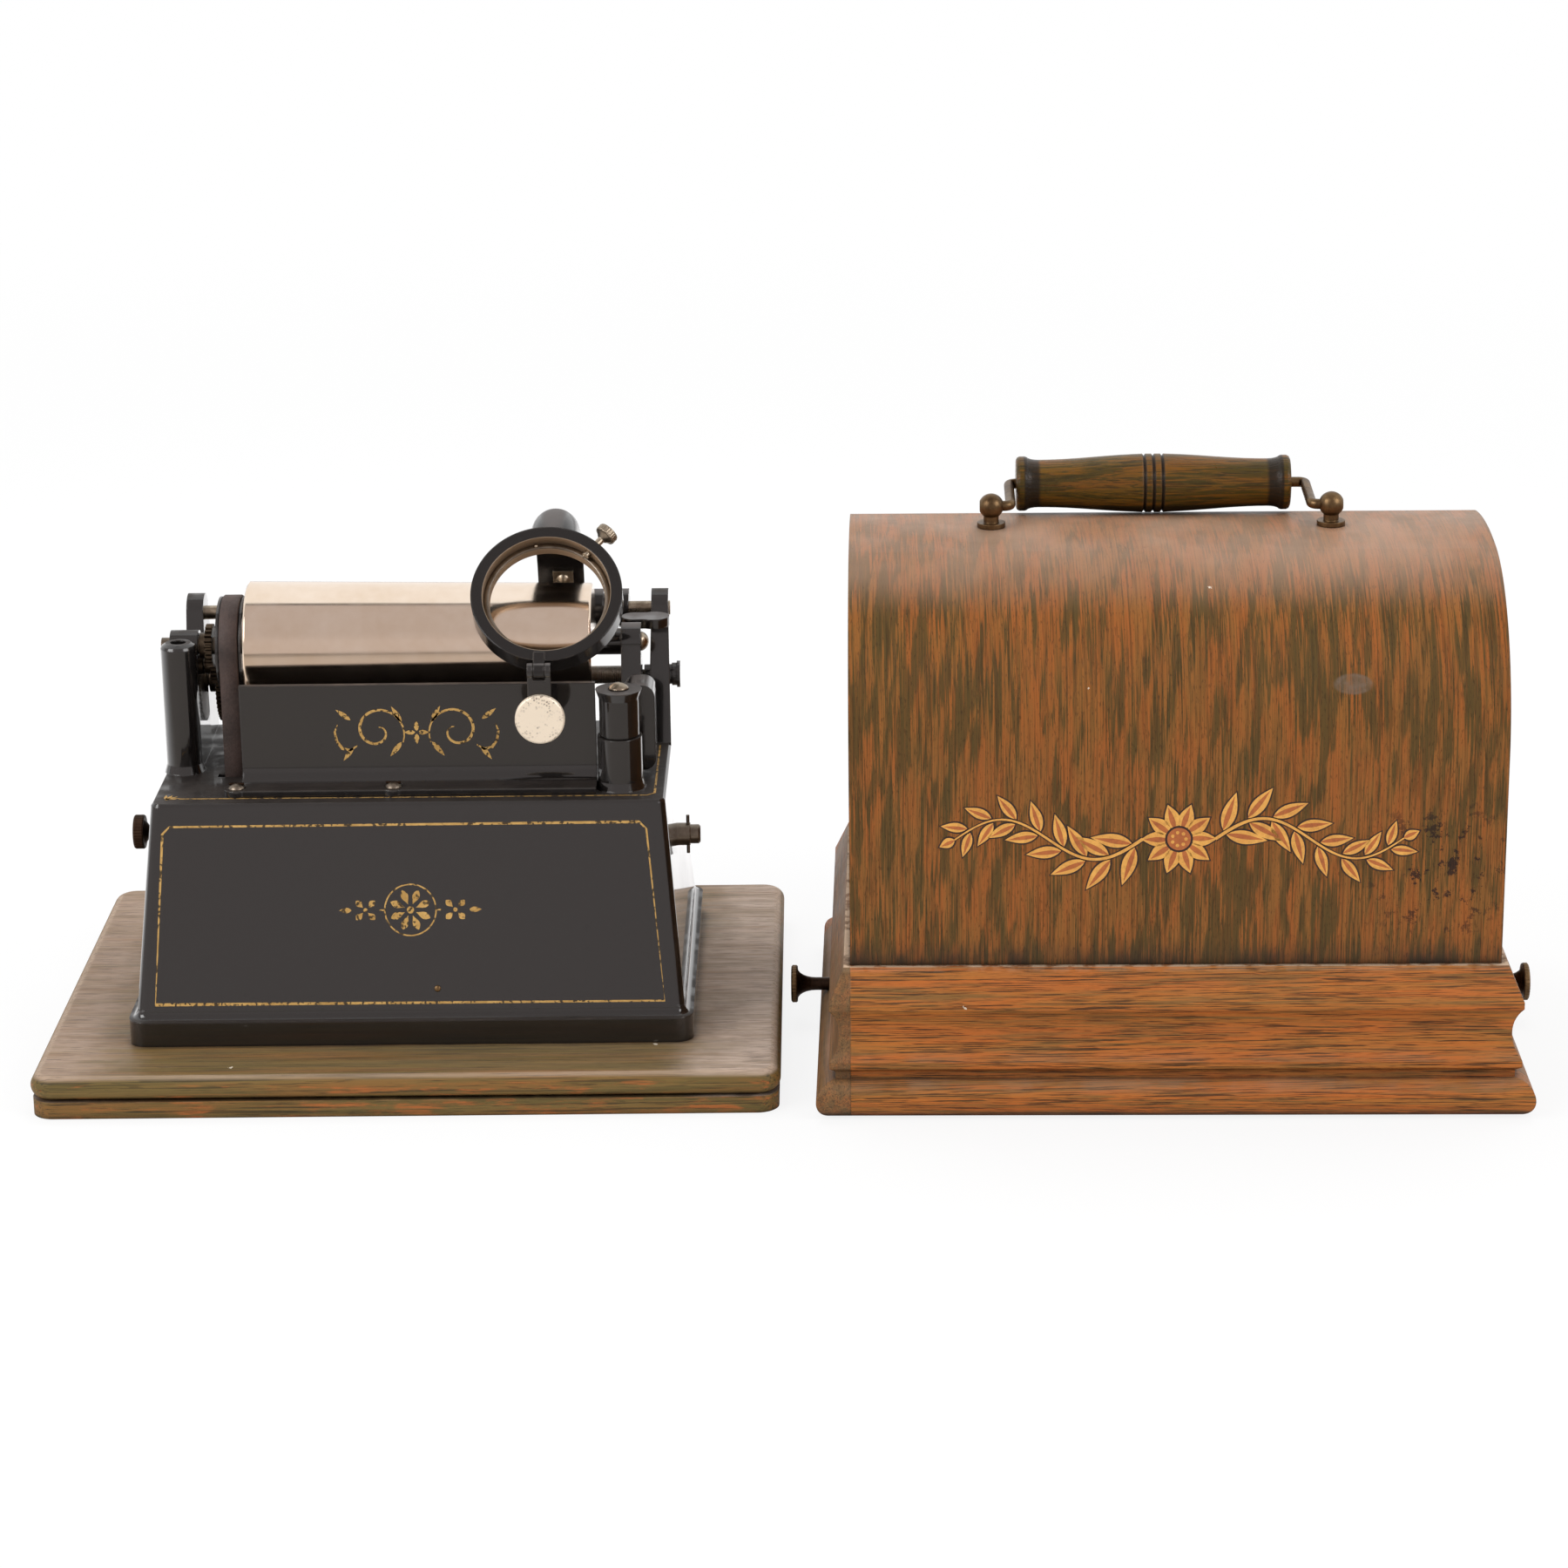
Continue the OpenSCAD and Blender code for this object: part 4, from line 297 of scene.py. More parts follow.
def oak_finish(name, patch, strand, line, tones, cover, amounts, rough=(0.40, 0.60), marks=None, sheen=0.25):
    """Varnished oak: patch, strand and line stretch the figure along the grain; tones are ground, warm,
    stain and pore; amounts are of stain, lines and pores; marks adds the piece's own wear and painted sheen."""
    material, web, surface = finish(name, Specular_IOR_Level=sheen, IOR=1.45)
    ground, warm, stain, pore = tones
    stain_amount, line_amount, pore_amount = amounts
    figure = use(web, "oak figure", Patch_Scale=patch, Strand_Scale=strand, Line_Scale=line, Cover=cover,
                 Ground=ground, Warm=warm, Stain=stain, Pore=pore,
                 Stain_Amount=stain_amount, Line_Amount=line_amount, Pore_Amount=pore_amount)
    worn = use(web, "worn edges", Radius=0.0011, Patch_Scale=70.0, Amount=0.45)
    flecks = use(web, "specks", Scale=48.0, Size=0.034, Share=0.2)["Mask"]
    corner_shade_and_dirt = use(web, "crevice shade and dirt", Reach=0.0045, Amount=0.75)["Mask"]
    colour = web.blend(worn["Mask"], figure["Color"], srgb(168, 128, 92))
    if marks:
        colour = marks(web, colour)
    # Painted shade and dirt darken the inner corners.
    colour = web.blend(corner_shade_and_dirt, colour, srgb(34, 25, 18))
    colour = web.blend(web.times(flecks, 0.85), colour, srgb(216, 204, 186))
    web.feed(surface["Base Color"], colour)
    web.feed(surface["Roughness"], patina(web, 30.0, *rough))
    web.feed(surface["Normal"], web.bump(figure["Height"], 0.00010, worn["Rounded Normal"]))
    return material


# Ring of the sound box in millimetres: its own directions, the middle of its front face, and its seat
RING_UP = Vector((0, 0.68962, 0.724172))
RING_OUT = Vector((0, -0.724172, 0.68962))
RING_MIDDLE = Vector((48.4, -27.0, 162.8))
RING_THICK = 8.0
SEAT_RADIUS = 21.9
SEAT_DEPTH = 4.5


def ring_bore(web):
    """Mask of the bare seat and bore inside the ring of the sound box."""
    off = web.vector("SUBTRACT", web.place(), RING_MIDDLE * MM)
    out = web.vector("DOT_PRODUCT", off, RING_OUT, "Value")
    length_squared = web.vector("DOT_PRODUCT", off, off, "Value")
    reach = web.math("SQRT", web.math("SUBTRACT", length_squared, web.times(out, out)))
    inside = web.span(reach, (SEAT_RADIUS + 0.25) * MM, (SEAT_RADIUS + 0.1) * MM)
    return web.times(inside, web.math("GREATER_THAN", out, -(RING_THICK + 0.1) * MM))


# Lid in millimetres: the middle of its foot, and its own directions, a little turned
LID_MIDDLE = Vector((260.4, -22.0, 0.0))
LID_TURN = math.radians(-1.1)
LID_ACROSS = Vector((math.cos(LID_TURN), math.sin(LID_TURN), 0.0))
LID_BACK = Vector((-math.sin(LID_TURN), math.cos(LID_TURN), 0.0))
LID_FRONT_FACE = -75.0


def lid_point(across, back, up):
    """Point of the lid's own frame, in millimetres of the object's frame."""
    return LID_MIDDLE + LID_ACROSS * across + LID_BACK * back + Vector((0, 0, up))


# Marks in metres: heights and distances come in pairs, from where a mark begins to where it is full
CROWN_SHEEN_HEIGHTS = 0.166, 0.185
FOOT_HEIGHTS = 0.062, 0.0512
LEDGE_HEIGHTS = 0.0495, 0.0507
SCUFF_AT = tuple(lid_point(87.0, LID_FRONT_FACE, 84.5) * MM)
SCUFF_REACH = 0.036, 0.010
BRUISE_AT = tuple(lid_point(57.0, -72.0, 147.0) * MM)
BRUISE_REACH = 0.0070, 0.0056
BRUISE_SQUEEZE = 1.0, 0.3, 2.0
BESIDE_CASTING = 0.084, 0.118
BOARD_ENDS = -0.10, 0.10
GRIP_MIDDLE = lid_point(-3.6, 27.0, 191.368)
COVE_START = 0.0385, 0.0400
COVE_END = 0.0450, 0.0442
GRIP_GROOVES = 0.0, 0.0031
GROOVE_HALF_WIDTH = 0.0008, 0.0003


def lid_marks(web, colour):
    """Painted grey sheen on the crown, darker foot, dark scuffs low on the right and a bruise above them."""
    place = web.place()
    height = web.axes()["Z"]
    # Painted sheen: the crown turns pale grey towards its top.
    cloudy = web.span(web.noise(place, 26.0), 0.3, 0.7, 0.35, 0.65)
    crown_sheen = web.times(web.span(height, *CROWN_SHEEN_HEIGHTS), cloudy)
    colour = web.blend(crown_sheen, colour, srgb(176, 146, 126))
    # Darker towards the foot of the shell.
    patchy = web.span(web.noise(place, 75.0), 0.3, 0.7, 0.35, 0.95)
    foot = web.times(web.span(height, *FOOT_HEIGHTS), patchy)
    colour = web.blend(foot, colour, srgb(52, 43, 36))
    near = web.vector("DISTANCE", place, SCUFF_AT, "Value")
    broken = web.span(web.noise(place, 150.0, 5.0, 0.75), 0.565, 0.61)
    scuffs = web.times(web.span(near, *SCUFF_REACH, 0.0, 0.85), broken)
    colour = web.blend(scuffs, colour, srgb(38, 29, 29))
    off = web.stretched(web.vector("SUBTRACT", place, BRUISE_AT), BRUISE_SQUEEZE)
    near = web.vector("LENGTH", off, output="Value")
    mottled = web.span(web.noise(place, 420.0), 0.3, 0.7, 0.35, 0.8)
    bruise = web.times(web.span(near, *BRUISE_REACH), mottled)
    return web.blend(bruise, colour, srgb(112, 96, 82))


def rail_marks(web, colour):
    """Painted grey sheen on the upward parts of the moulding, and pale dust along its top ledge."""
    place = web.place()
    up = web.facing_up()
    # Painted sheen: upward faces of the moulding turn grey.
    patchy = web.span(web.noise(place, 60.0), 0.3, 0.7, 0.1, 0.6)
    colour = web.blend(web.times(web.span(up, 0.25, 0.95), patchy), colour, srgb(150, 118, 92))
    broken = web.span(web.noise(place, 210.0, 3.0), 0.36, 0.55)
    ledge = web.times(web.span(up, 0.3, 0.8), web.span(web.axes()["Z"], *LEDGE_HEIGHTS), broken)
    return web.blend(ledge, colour, srgb(206, 178, 150))


def board_marks(web, colour):
    """Painted sheen beside the casting, painted highlight on the worn shoulder, and orange chips on the
    edges.
    """
    place = web.place()
    along = web.axes()["X"]
    up = web.facing_up()

    def grained(lengthwise, across, detail, rough=0.55):
        return web.noise(web.stretched(place, (lengthwise, across, across)), 1.0, detail, rough)

    # Painted sheen: the upward top beside the casting turns pale grey, not in front of it.
    wander = web.times(web.math("SUBTRACT", web.noise(place, 32.0, 4.0), 0.5), 0.05)
    from_middle = web.math("ADD", web.math("ABSOLUTE", along), wander)
    beside = web.span(from_middle, *BESIDE_CASTING, 0.10, 1.0)
    cloudy = web.span(grained(30.0, 320.0, 4.0), 0.28, 0.62, 0.45, 0.9)
    side_sheen = web.times(web.span(up, 0.55, 0.95), beside, cloudy)
    strands = web.span(grained(40.0, 1500.0, 3.0), 0.38, 0.58, 0.2, 1.0)
    chips = web.span(grained(48.0, 330.0, 5.0, 0.65), 0.52, 0.66)
    chips = web.times(chips, strands, web.span(up, 0.6, 0.2), 0.8)
    colour = web.blend(chips, colour, srgb(176, 98, 48))
    # Painted light: the sheen tone grows paler to the right, against the lid's shadow.
    dust_and_sheen_tone = web.blend(web.span(along, *BOARD_ENDS), srgb(168, 144, 126), srgb(198, 176, 160))
    colour = web.blend(side_sheen, colour, dust_and_sheen_tone)
    # Wear and a painted highlight along the rounded shoulder.
    streaks = web.span(grained(26.0, 300.0, 4.0), 0.30, 0.65, 0.25, 0.6)
    shoulder = web.times(web.span(up, 0.66, 0.90), web.span(up, 0.999, 0.97), streaks)
    colour = web.blend(shoulder, colour, srgb(180, 156, 134))
    grain = web.span(grained(80.0, 2000.0, 3.0, 0.6), 0.53, 0.61, 0.0, 0.8)
    return web.blend(web.times(grain, side_sheen), colour, srgb(78, 64, 52))


def grip_marks(web, colour):
    """Dark polish in the grooves and coves, by the distance from the middle of the grip."""
    from_middle = web.math("ABSOLUTE", web.math("SUBTRACT", web.axes()["X"], GRIP_MIDDLE.x * MM))
    dark = web.times(web.span(from_middle, *COVE_START), web.span(from_middle, *COVE_END))
    for groove in GRIP_GROOVES:
        off = web.math("ABSOLUTE", web.math("SUBTRACT", from_middle, groove))
        dark = web.math("MAXIMUM", dark, web.span(off, *GROOVE_HALF_WIDTH))
    return web.blend(web.times(dark, 0.88), colour, srgb(30, 23, 18))


def metal_finish(name, bright, dull, rough, cloud, lines=(900.0, 900.0, 900.0), wear=0.5):
    """Bare or plated metal with dull clouds, fine turned lines and bright rubbed edges."""
    material, web, surface = finish(name, Metallic=1.0)
    worn = use(web, "worn edges", Radius=0.0005, Patch_Scale=140.0, Amount=wear)
    colour = web.blend(patina(web, cloud), bright, dull)
    web.feed(surface["Base Color"], web.blend(worn["Mask"], colour, bright))
    web.feed(surface["Roughness"], patina(web, cloud * 0.7, *rough))
    height = web.noise(web.stretched(web.place(), lines), 1.0, 2.0, 0.6)
    web.feed(surface["Normal"], web.bump(height, 0.000012, worn["Rounded Normal"]))
    return material


def thread_finish(name):
    """Steel with a fine thread cut along X."""
    material, web, surface = finish(name, Metallic=1.0)
    web.feed(surface["Base Color"], web.blend(patina(web, 70.0), srgb(150, 142, 132), srgb(84, 76, 68)))
    web.feed(surface["Roughness"], patina(web, 60.0, 0.28, 0.48))
    sockets = {"Vector": web.place(), "Scale": 540.0, "Distortion": 0.0}
    wave = web.add("ShaderNodeTexWave", sockets, bands_direction="X").outputs["Fac"]
    web.feed(surface["Normal"], web.bump(wave, 0.00016))
    return material


def leather_finish(name):
    """Dark oiled leather with a pebbled grain and rubbed patches."""
    material, web, surface = finish(name)
    web.feed(surface["Base Color"], web.blend(patina(web, 110.0), srgb(46, 34, 30), srgb(78, 60, 54)))
    web.feed(surface["Roughness"], patina(web, 90.0, 0.5, 0.75))
    grain = web.add("ShaderNodeTexVoronoi", {"Vector": web.place(), "Scale": 1500.0}).outputs["Distance"]
    web.feed(surface["Normal"], web.bump(grain, 0.00008))
    return material


def paint_finish(name, full, thin, metallic, rubbed):
    """Old bronze-powder or oil paint, thinned and broken by rubbing."""
    material, web, surface = finish(name, Metallic=metallic)
    gaps = web.span(web.noise(web.place(), 700.0, 2.0, 0.6), 0.53, 0.58, 0.0, rubbed)
    colour = web.blend(patina(web, 220.0), full, thin)
    web.feed(surface["Base Color"], web.blend(gaps, colour, srgb(24, 18, 14)))
    web.feed(surface["Roughness"], patina(web, 150.0, 0.36, 0.58))
    return material


def disc_finish(name):
    """Pale worn plate with a stippled patch of fine pits."""
    material, web, surface = finish(name, Metallic=0.35)
    worn = use(web, "worn edges", Radius=0.0005, Patch_Scale=140.0, Amount=0.4)
    pits = use(web, "specks", Scale=1150.0, Size=0.42, Share=0.6)["Mask"]
    patch = web.span(web.noise(web.place(), 95.0, 3.0, 0.6), 0.42, 0.58)
    pitted = web.times(pits, web.times(patch, 0.85))
    web.feed(surface["Base Color"], web.blend(pitted, srgb(250, 234, 212), srgb(116, 94, 78)))
    web.feed(surface["Roughness"], patina(web, 80.0, 0.32, 0.5))
    web.feed(surface["Normal"], worn["Rounded Normal"])
    return material


# Oak tones: ground, warm, stain and pore
LID_TONES = srgb(138, 89, 44), srgb(148, 86, 41), srgb(72, 62, 35), srgb(44, 34, 22)
RAIL_TONES = srgb(172, 105, 45), srgb(180, 99, 41), srgb(112, 86, 46), srgb(62, 42, 24)
# The end rails take a darker, greyer copy of the rail tones: painted shade on the sides.
SHADED_END_RAIL_TONES = srgb(134, 96, 59), srgb(144, 93, 54), srgb(90, 75, 51), srgb(46, 38, 30)
GRIP_TONES = srgb(106, 74, 22), srgb(114, 71, 20), srgb(60, 52, 18), srgb(36, 28, 12)
BOARD_TONES = srgb(117, 95, 53), srgb(130, 92, 48), srgb(92, 80, 44), srgb(46, 40, 28)

# The grain stands on the shell and the end panels, and lies along the rails, the grip and the board
# Tone of the up faces of the small black parts: dust and a painted sheen.
SMALL_DUST_AND_SHEEN = srgb(105, 98, 95)
LID_AMOUNTS = 0.8, 0.35, 0.4
LID_ROUGHNESS = 0.30, 0.46
LID_SHEEN = 0.13
BLACK = japan_finish("black_japan", 0.35, 0.07, 0.85, srgb(54, 46, 41))
BLACK_FINE = japan_finish("black_japan_small", 0.5, 0.08, 0.8, SMALL_DUST_AND_SHEEN)
BLACK_RING = japan_finish("black_japan_ring", 0.5, 0.08, 0.0, SMALL_DUST_AND_SHEEN, turned=ring_bore)
SHELL_OAK = oak_finish("shell_oak", (290.0, 50.0, 50.0), (900.0, 10.0, 10.0), (1300.0, 40.0, 40.0),
                       LID_TONES, 0.0, LID_AMOUNTS, LID_ROUGHNESS, lid_marks, LID_SHEEN)
PANEL_OAK = oak_finish("panel_oak", (50.0, 290.0, 50.0), (10.0, 900.0, 10.0), (40.0, 1300.0, 40.0),
                       LID_TONES, 0.0, LID_AMOUNTS, LID_ROUGHNESS, sheen=LID_SHEEN)
RAIL_OAK = oak_finish("rail_oak", (20.0, 420.0, 420.0), (9.0, 800.0, 800.0), (24.0, 2500.0, 2500.0),
                      RAIL_TONES, -0.06, (0.65, 0.9, 0.35), marks=rail_marks)
SHADED_END_RAIL_OAK = oak_finish("end_rail_oak_painted_shade", (420.0, 20.0, 420.0), (800.0, 9.0, 800.0), (2500.0, 24.0, 2500.0),
                          SHADED_END_RAIL_TONES, 0.0, (0.5, 0.5, 0.1), marks=rail_marks)
GRIP_OAK = oak_finish("grip_oak", (34.0, 300.0, 300.0), (12.0, 800.0, 800.0), (40.0, 1400.0, 1400.0),
                      GRIP_TONES, 0.02, (0.8, 0.5, 0.35), (0.24, 0.40), grip_marks, 0.3)
BOARD_OAK = oak_finish("board_oak", (14.0, 240.0, 240.0), (8.0, 800.0, 800.0), (24.0, 1300.0, 1300.0),
                       BOARD_TONES, 0.0, (0.6, 0.6, 0.4), marks=board_marks)
NICKEL = metal_finish("aged_nickel", srgb(251, 234, 217), srgb(238, 216, 193), (0.07, 0.18), 24.0,
                      (6.0, 900.0, 900.0), 0.3)
SMALL_NICKEL = metal_finish("small_nickel", srgb(192, 178, 158), srgb(122, 108, 92), (0.20, 0.40), 120.0)
STEEL = metal_finish("oiled_steel", srgb(150, 138, 124), srgb(92, 82, 72), (0.25, 0.45), 70.0)
GEAR_STEEL = metal_finish("dark_gear_steel", srgb(104, 90, 74), srgb(52, 44, 38), (0.30, 0.50), 150.0)
BRASS = metal_finish("dull_brass", srgb(172, 140, 82), srgb(104, 80, 46), (0.28, 0.48), 90.0)
BRONZE = metal_finish("oxidised_brass", srgb(134, 108, 76), srgb(76, 58, 42), (0.28, 0.48), 130.0)
DARK_BRONZE = metal_finish("dark_bronze", srgb(72, 54, 42), srgb(34, 27, 24), (0.30, 0.50), 130.0)
DISC = disc_finish("worn_disc")
THREAD = thread_finish("threaded_steel")
LEATHER = leather_finish("belt_leather")
GOLD = paint_finish("gold_lining", srgb(216, 174, 102), srgb(168, 128, 64), 0.25, 0.9)
LEAF_GOLD = paint_finish("leaf_gold", srgb(228, 168, 78), srgb(206, 142, 60), 0.0, 0.12)
LEAF_AMBER = paint_finish("leaf_amber", srgb(186, 104, 44), srgb(160, 84, 36), 0.0, 0.15)
LEAF_LINE = paint_finish("leaf_line", srgb(52, 28, 20), srgb(40, 22, 17), 0.0, 0.0)

NODE_FINISH = {
    BLACK: ["body_casting", "straight_edge"],
    BLACK_FINE: ["feed_pivot", "mandrel_pulley", "lift_lever", "gate", "gate_latch", "drive_pulley"],
    BLACK_RING: ["carriage"],
    SHELL_OAK: ["lid_shell"],
    PANEL_OAK: ["lid_end_left", "lid_end_right"],
    RAIL_OAK: ["lid_moulding_front", "lid_moulding_back"],
    SHADED_END_RAIL_OAK: ["lid_moulding_left", "lid_moulding_right"],
    GRIP_OAK: ["handle_grip"],
    BOARD_OAK: ["baseboard_top", "baseboard_bottom"],
    NICKEL: ["mandrel"],
    SMALL_NICKEL: ["back_rod", "nut_plate", "clamp_screw", "gate_centre", "gate_hinge_pin"],
    DISC: ["thumb_disc"],
    STEEL: ["base_screws", "straight_edge_screws", "idler_stud", "mandrel_shaft", "motor_plate_left",
            "motor_plate_middle", "motor_plate_right", "motor_pillars", "mainspring", "winding_arbor",
            "ratchet_wheel", "ratchet_pawl", "second_arbor", "drive_arbor", "governor_shaft",
            "governor_springs", "brake_lever"],
    GEAR_STEEL: ["mandrel_gear", "idler_gear", "feed_gear"],
    BRASS: ["half_nut", "spring_barrel", "barrel_cover", "second_wheel", "governor_wheel",
            "governor_disc", "governor_weights"],
    BRONZE: ["handle_studs", "handle_bail"],
    DARK_BRONZE: ["speed_screw", "lid_screw_left", "lid_screw_right"],
    THREAD: ["feed_screw"],
}
for material, names in NODE_FINISH.items():
    for name in names:
        mesh = CAD_NODES[name].data
        mesh.materials.clear()
        mesh.materials.append(material)


# Mesh pieces

def mesh_object(name, shape, material):
    """Turns a bmesh into an object of the scene."""
    mesh = bpy.data.meshes.new(name)
    shape.to_mesh(mesh)
    shape.free()
    mesh.materials.append(material)
    made = bpy.data.objects.new(name, mesh)
    bpy.context.collection.objects.link(made)
    return made


def piece(name, shape, material, body, smooth=False):
    """Object that rides on a body."""
    bmesh.ops.recalc_face_normals(shape, faces=shape.faces)
    made = mesh_object(name, shape, material)
    made.data.polygons.foreach_set("use_smooth", [smooth] * len(made.data.polygons))
    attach(made, body)
    return made


# Faces that carry painted work: each takes millimetres across, up and out of the face
PANEL_LOW, PANEL_HIGH = Vector((0, -66, 26.5)), Vector((0, -48, 94))
PANEL_UP = (PANEL_HIGH - PANEL_LOW).normalized()
PANEL_OUT = Vector((0, -PANEL_UP.z, PANEL_UP.y))
EDGE_FACE_Y = -31.4
BED_HEIGHT = 95


def front_panel(across, up, out):
    """Point on the leaning front of the casting."""
    return (Vector((across, 0, 0)) + PANEL_LOW + up * PANEL_UP + out * PANEL_OUT) * MM


def edge_face(across, up, out):
    """Point on the front of the straight edge."""
    return Vector((across, EDGE_FACE_Y - out, up)) * MM


def bed_face(across, up, out):
    """Point on the bed, where up leads to the back."""
    return Vector((across, up, BED_HEIGHT + out)) * MM


def lid_face(across, up, out):
    """Point on the front of the lid."""
    return lid_point(across, LID_FRONT_FACE - out, up) * MM


# Layers of paint: how far out of the face each begins and ends
GOLD_LAYER = 0.01, 0.07
OUTLINE_LAYER = 0.01, 0.05
STEM_LAYER = 0.05, 0.08
LEAF_LAYER = 0.05, 0.09
VEIN_LAYER = 0.09, 0.11
EYE_RIM_LAYER = 0.11, 0.13
EYE_LAYER = 0.13, 0.15
SEED_LAYER = 0.15, 0.17


def join_rings(shape, first, second):
    """Faces between two rings of points."""
    for i in range(len(first)):
        k = (i + 1) % len(first)
        shape.faces.new((first[i], first[k], second[k], second[i]))


def add_patch(shape, outline, face, layer):
    """Closed patch of paint over an outline."""
    low, high = layer
    tops = [shape.verts.new(face(a, b, high)) for a, b in outline]
    lows = [shape.verts.new(face(a, b, low)) for a, b in outline]
    shape.faces.new(tops)
    shape.faces.new(list(reversed(lows)))
    join_rings(shape, lows, tops)


def add_stroke(shape, path, width, face, layer, closed=False):
    """Closed band of paint along a path; the width is a number or a function of the share of the path."""
    low, high = layer
    count = len(path)
    rings = []
    for i, (a, b) in enumerate(path):
        before = path[i - 1] if i > 0 or closed else path[i]
        after = path[(i + 1) % count] if i < count - 1 or closed else path[i]
        along = Vector((after[0] - before[0], after[1] - before[1])).normalized()
        into = Vector((a - before[0], b - before[1]))
        corner = max(0.6, abs(into.normalized().dot(along))) if into.length > 0 else 1.0
        half = (width(i / max(1, count - 1)) if callable(width) else width) / 2 / corner
        side = Vector((-along.y, along.x)) * half
        rings.append([shape.verts.new(face(a + side.x * s, b + side.y * s, h))
                      for s, h in ((1, high), (-1, high), (-1, low), (1, low))])
    for first, second in zip(rings, rings[1:]):
        join_rings(shape, first, second)
    if closed:
        join_rings(shape, rings[-1], rings[0])
    else:
        shape.faces.new(rings[0])
        shape.faces.new(list(reversed(rings[-1])))


def leaf(base, tip, width, steps=8, belly=0.42):
    """Outline of a pointed leaf, widest at the share belly of its length."""
    base, tip = Vector(base), Vector(tip)
    along = tip - base
    side = Vector((-along.y, along.x)).normalized() * width / 2
    bend = math.log(0.5) / math.log(belly)
    shares = [i / steps for i in range(1, steps)]
    left = [base + along * share + side * math.sin(math.pi * share ** bend) for share in shares]
    right = [base + along * share - side * math.sin(math.pi * share ** bend) for share in shares]
    return [tuple(point) for point in [base] + left + [tip] + right[::-1]]


def disc(centre, radius, steps=28):
    """Outline of a round spot."""
    return [(centre[0] + radius * math.cos(2 * math.pi * i / steps),
             centre[1] + radius * math.sin(2 * math.pi * i / steps)) for i in range(steps)]


def spiral(centre, start, end, turn_from, turn_to, steps):
    """Points of a scroll whose radius shrinks from start to end between two angles in degrees."""
    points = []
    for i in range(steps + 1):
        share = i / steps
        angle = math.radians(turn_from + (turn_to - turn_from) * share)
        radius = start + (end - start) * share
        points.append((centre[0] + radius * math.cos(angle), centre[1] + radius * math.sin(angle)))
    return points


def cut_corners(left_low, right_low, right_high, left_high, cut):
    """Four-sided line with its two upper corners cut off."""
    right, right_top = right_high
    left, left_top = left_high
    return [left_low, right_low,
            (right, right_top - cut), (right - cut / 2, right_top - cut / 2), (right - cut, right_top),
            (left + cut, left_top), (left + cut / 2, left_top - cut / 2), (left, left_top - cut)]


def make_lining():
    """Gold lines round the front panel and along the bed, with a sprig at the bed's left corner."""
    shape = bmesh.new()
    panel = cut_corners((-87.4, 2.2), (87.3, 2.0), (81.7, 63.4), (-84.0, 63.2), 2.4)
    add_stroke(shape, panel, 0.66, front_panel, GOLD_LAYER, closed=True)
    bed = [(-79, -41.6), (-40, -41.9), (20, -42.3), (62, -42.4), (81.8, -42.5), (84.4, -40.2), (84.4, -8),
           (84.4, 15)]
    add_stroke(shape, bed, 0.6, bed_face, GOLD_LAYER)
    sprig, leaf_length, leaf_width = Vector((-83.5, -42.6)), 5.2, 1.3
    for tilt in (20, 45, 70, 95):
        way = Vector((math.cos(math.radians(tilt)), math.sin(math.radians(tilt))))
        add_patch(shape, leaf(sprig, sprig + way * leaf_length, leaf_width), bed_face, GOLD_LAYER)
    piece("gold_lining", shape, GOLD, "machine")


def make_panel_ornament():
    """Rosette between two smaller flowers on the front panel."""
    shape = bmesh.new()
    middle = Vector((0.6, 34.0))
    line_width = 0.5

    def flower(centre, petals, inner, outer, width):
        for i in range(petals):
            angle = 2 * math.pi * i / petals + math.pi / petals
            way = Vector((math.cos(angle), math.sin(angle)))
            petal = leaf(centre + way * inner, centre + way * outer, width, belly=0.6)
            add_patch(shape, petal, front_panel, GOLD_LAYER)
        add_patch(shape, disc(centre, inner * 0.62, 16), front_panel, GOLD_LAYER)

    flower(middle, 8, 2.0, 7.4, 2.5)
    add_stroke(shape, disc(middle, 8.8, 40), line_width, front_panel, GOLD_LAYER, closed=True)
    for side in (-1, 1):
        def beside(off):
            return middle + Vector((side * off, 0))
        flower(beside(15.4), 4, 1.2, 4.6, 2.2)
        add_stroke(shape, [beside(9.0), beside(10.6)], line_width, front_panel, GOLD_LAYER)
        add_patch(shape, leaf(beside(20.2), beside(24.4), 1.9), front_panel, GOLD_LAYER)
    piece("panel_ornament", shape, GOLD, "machine")


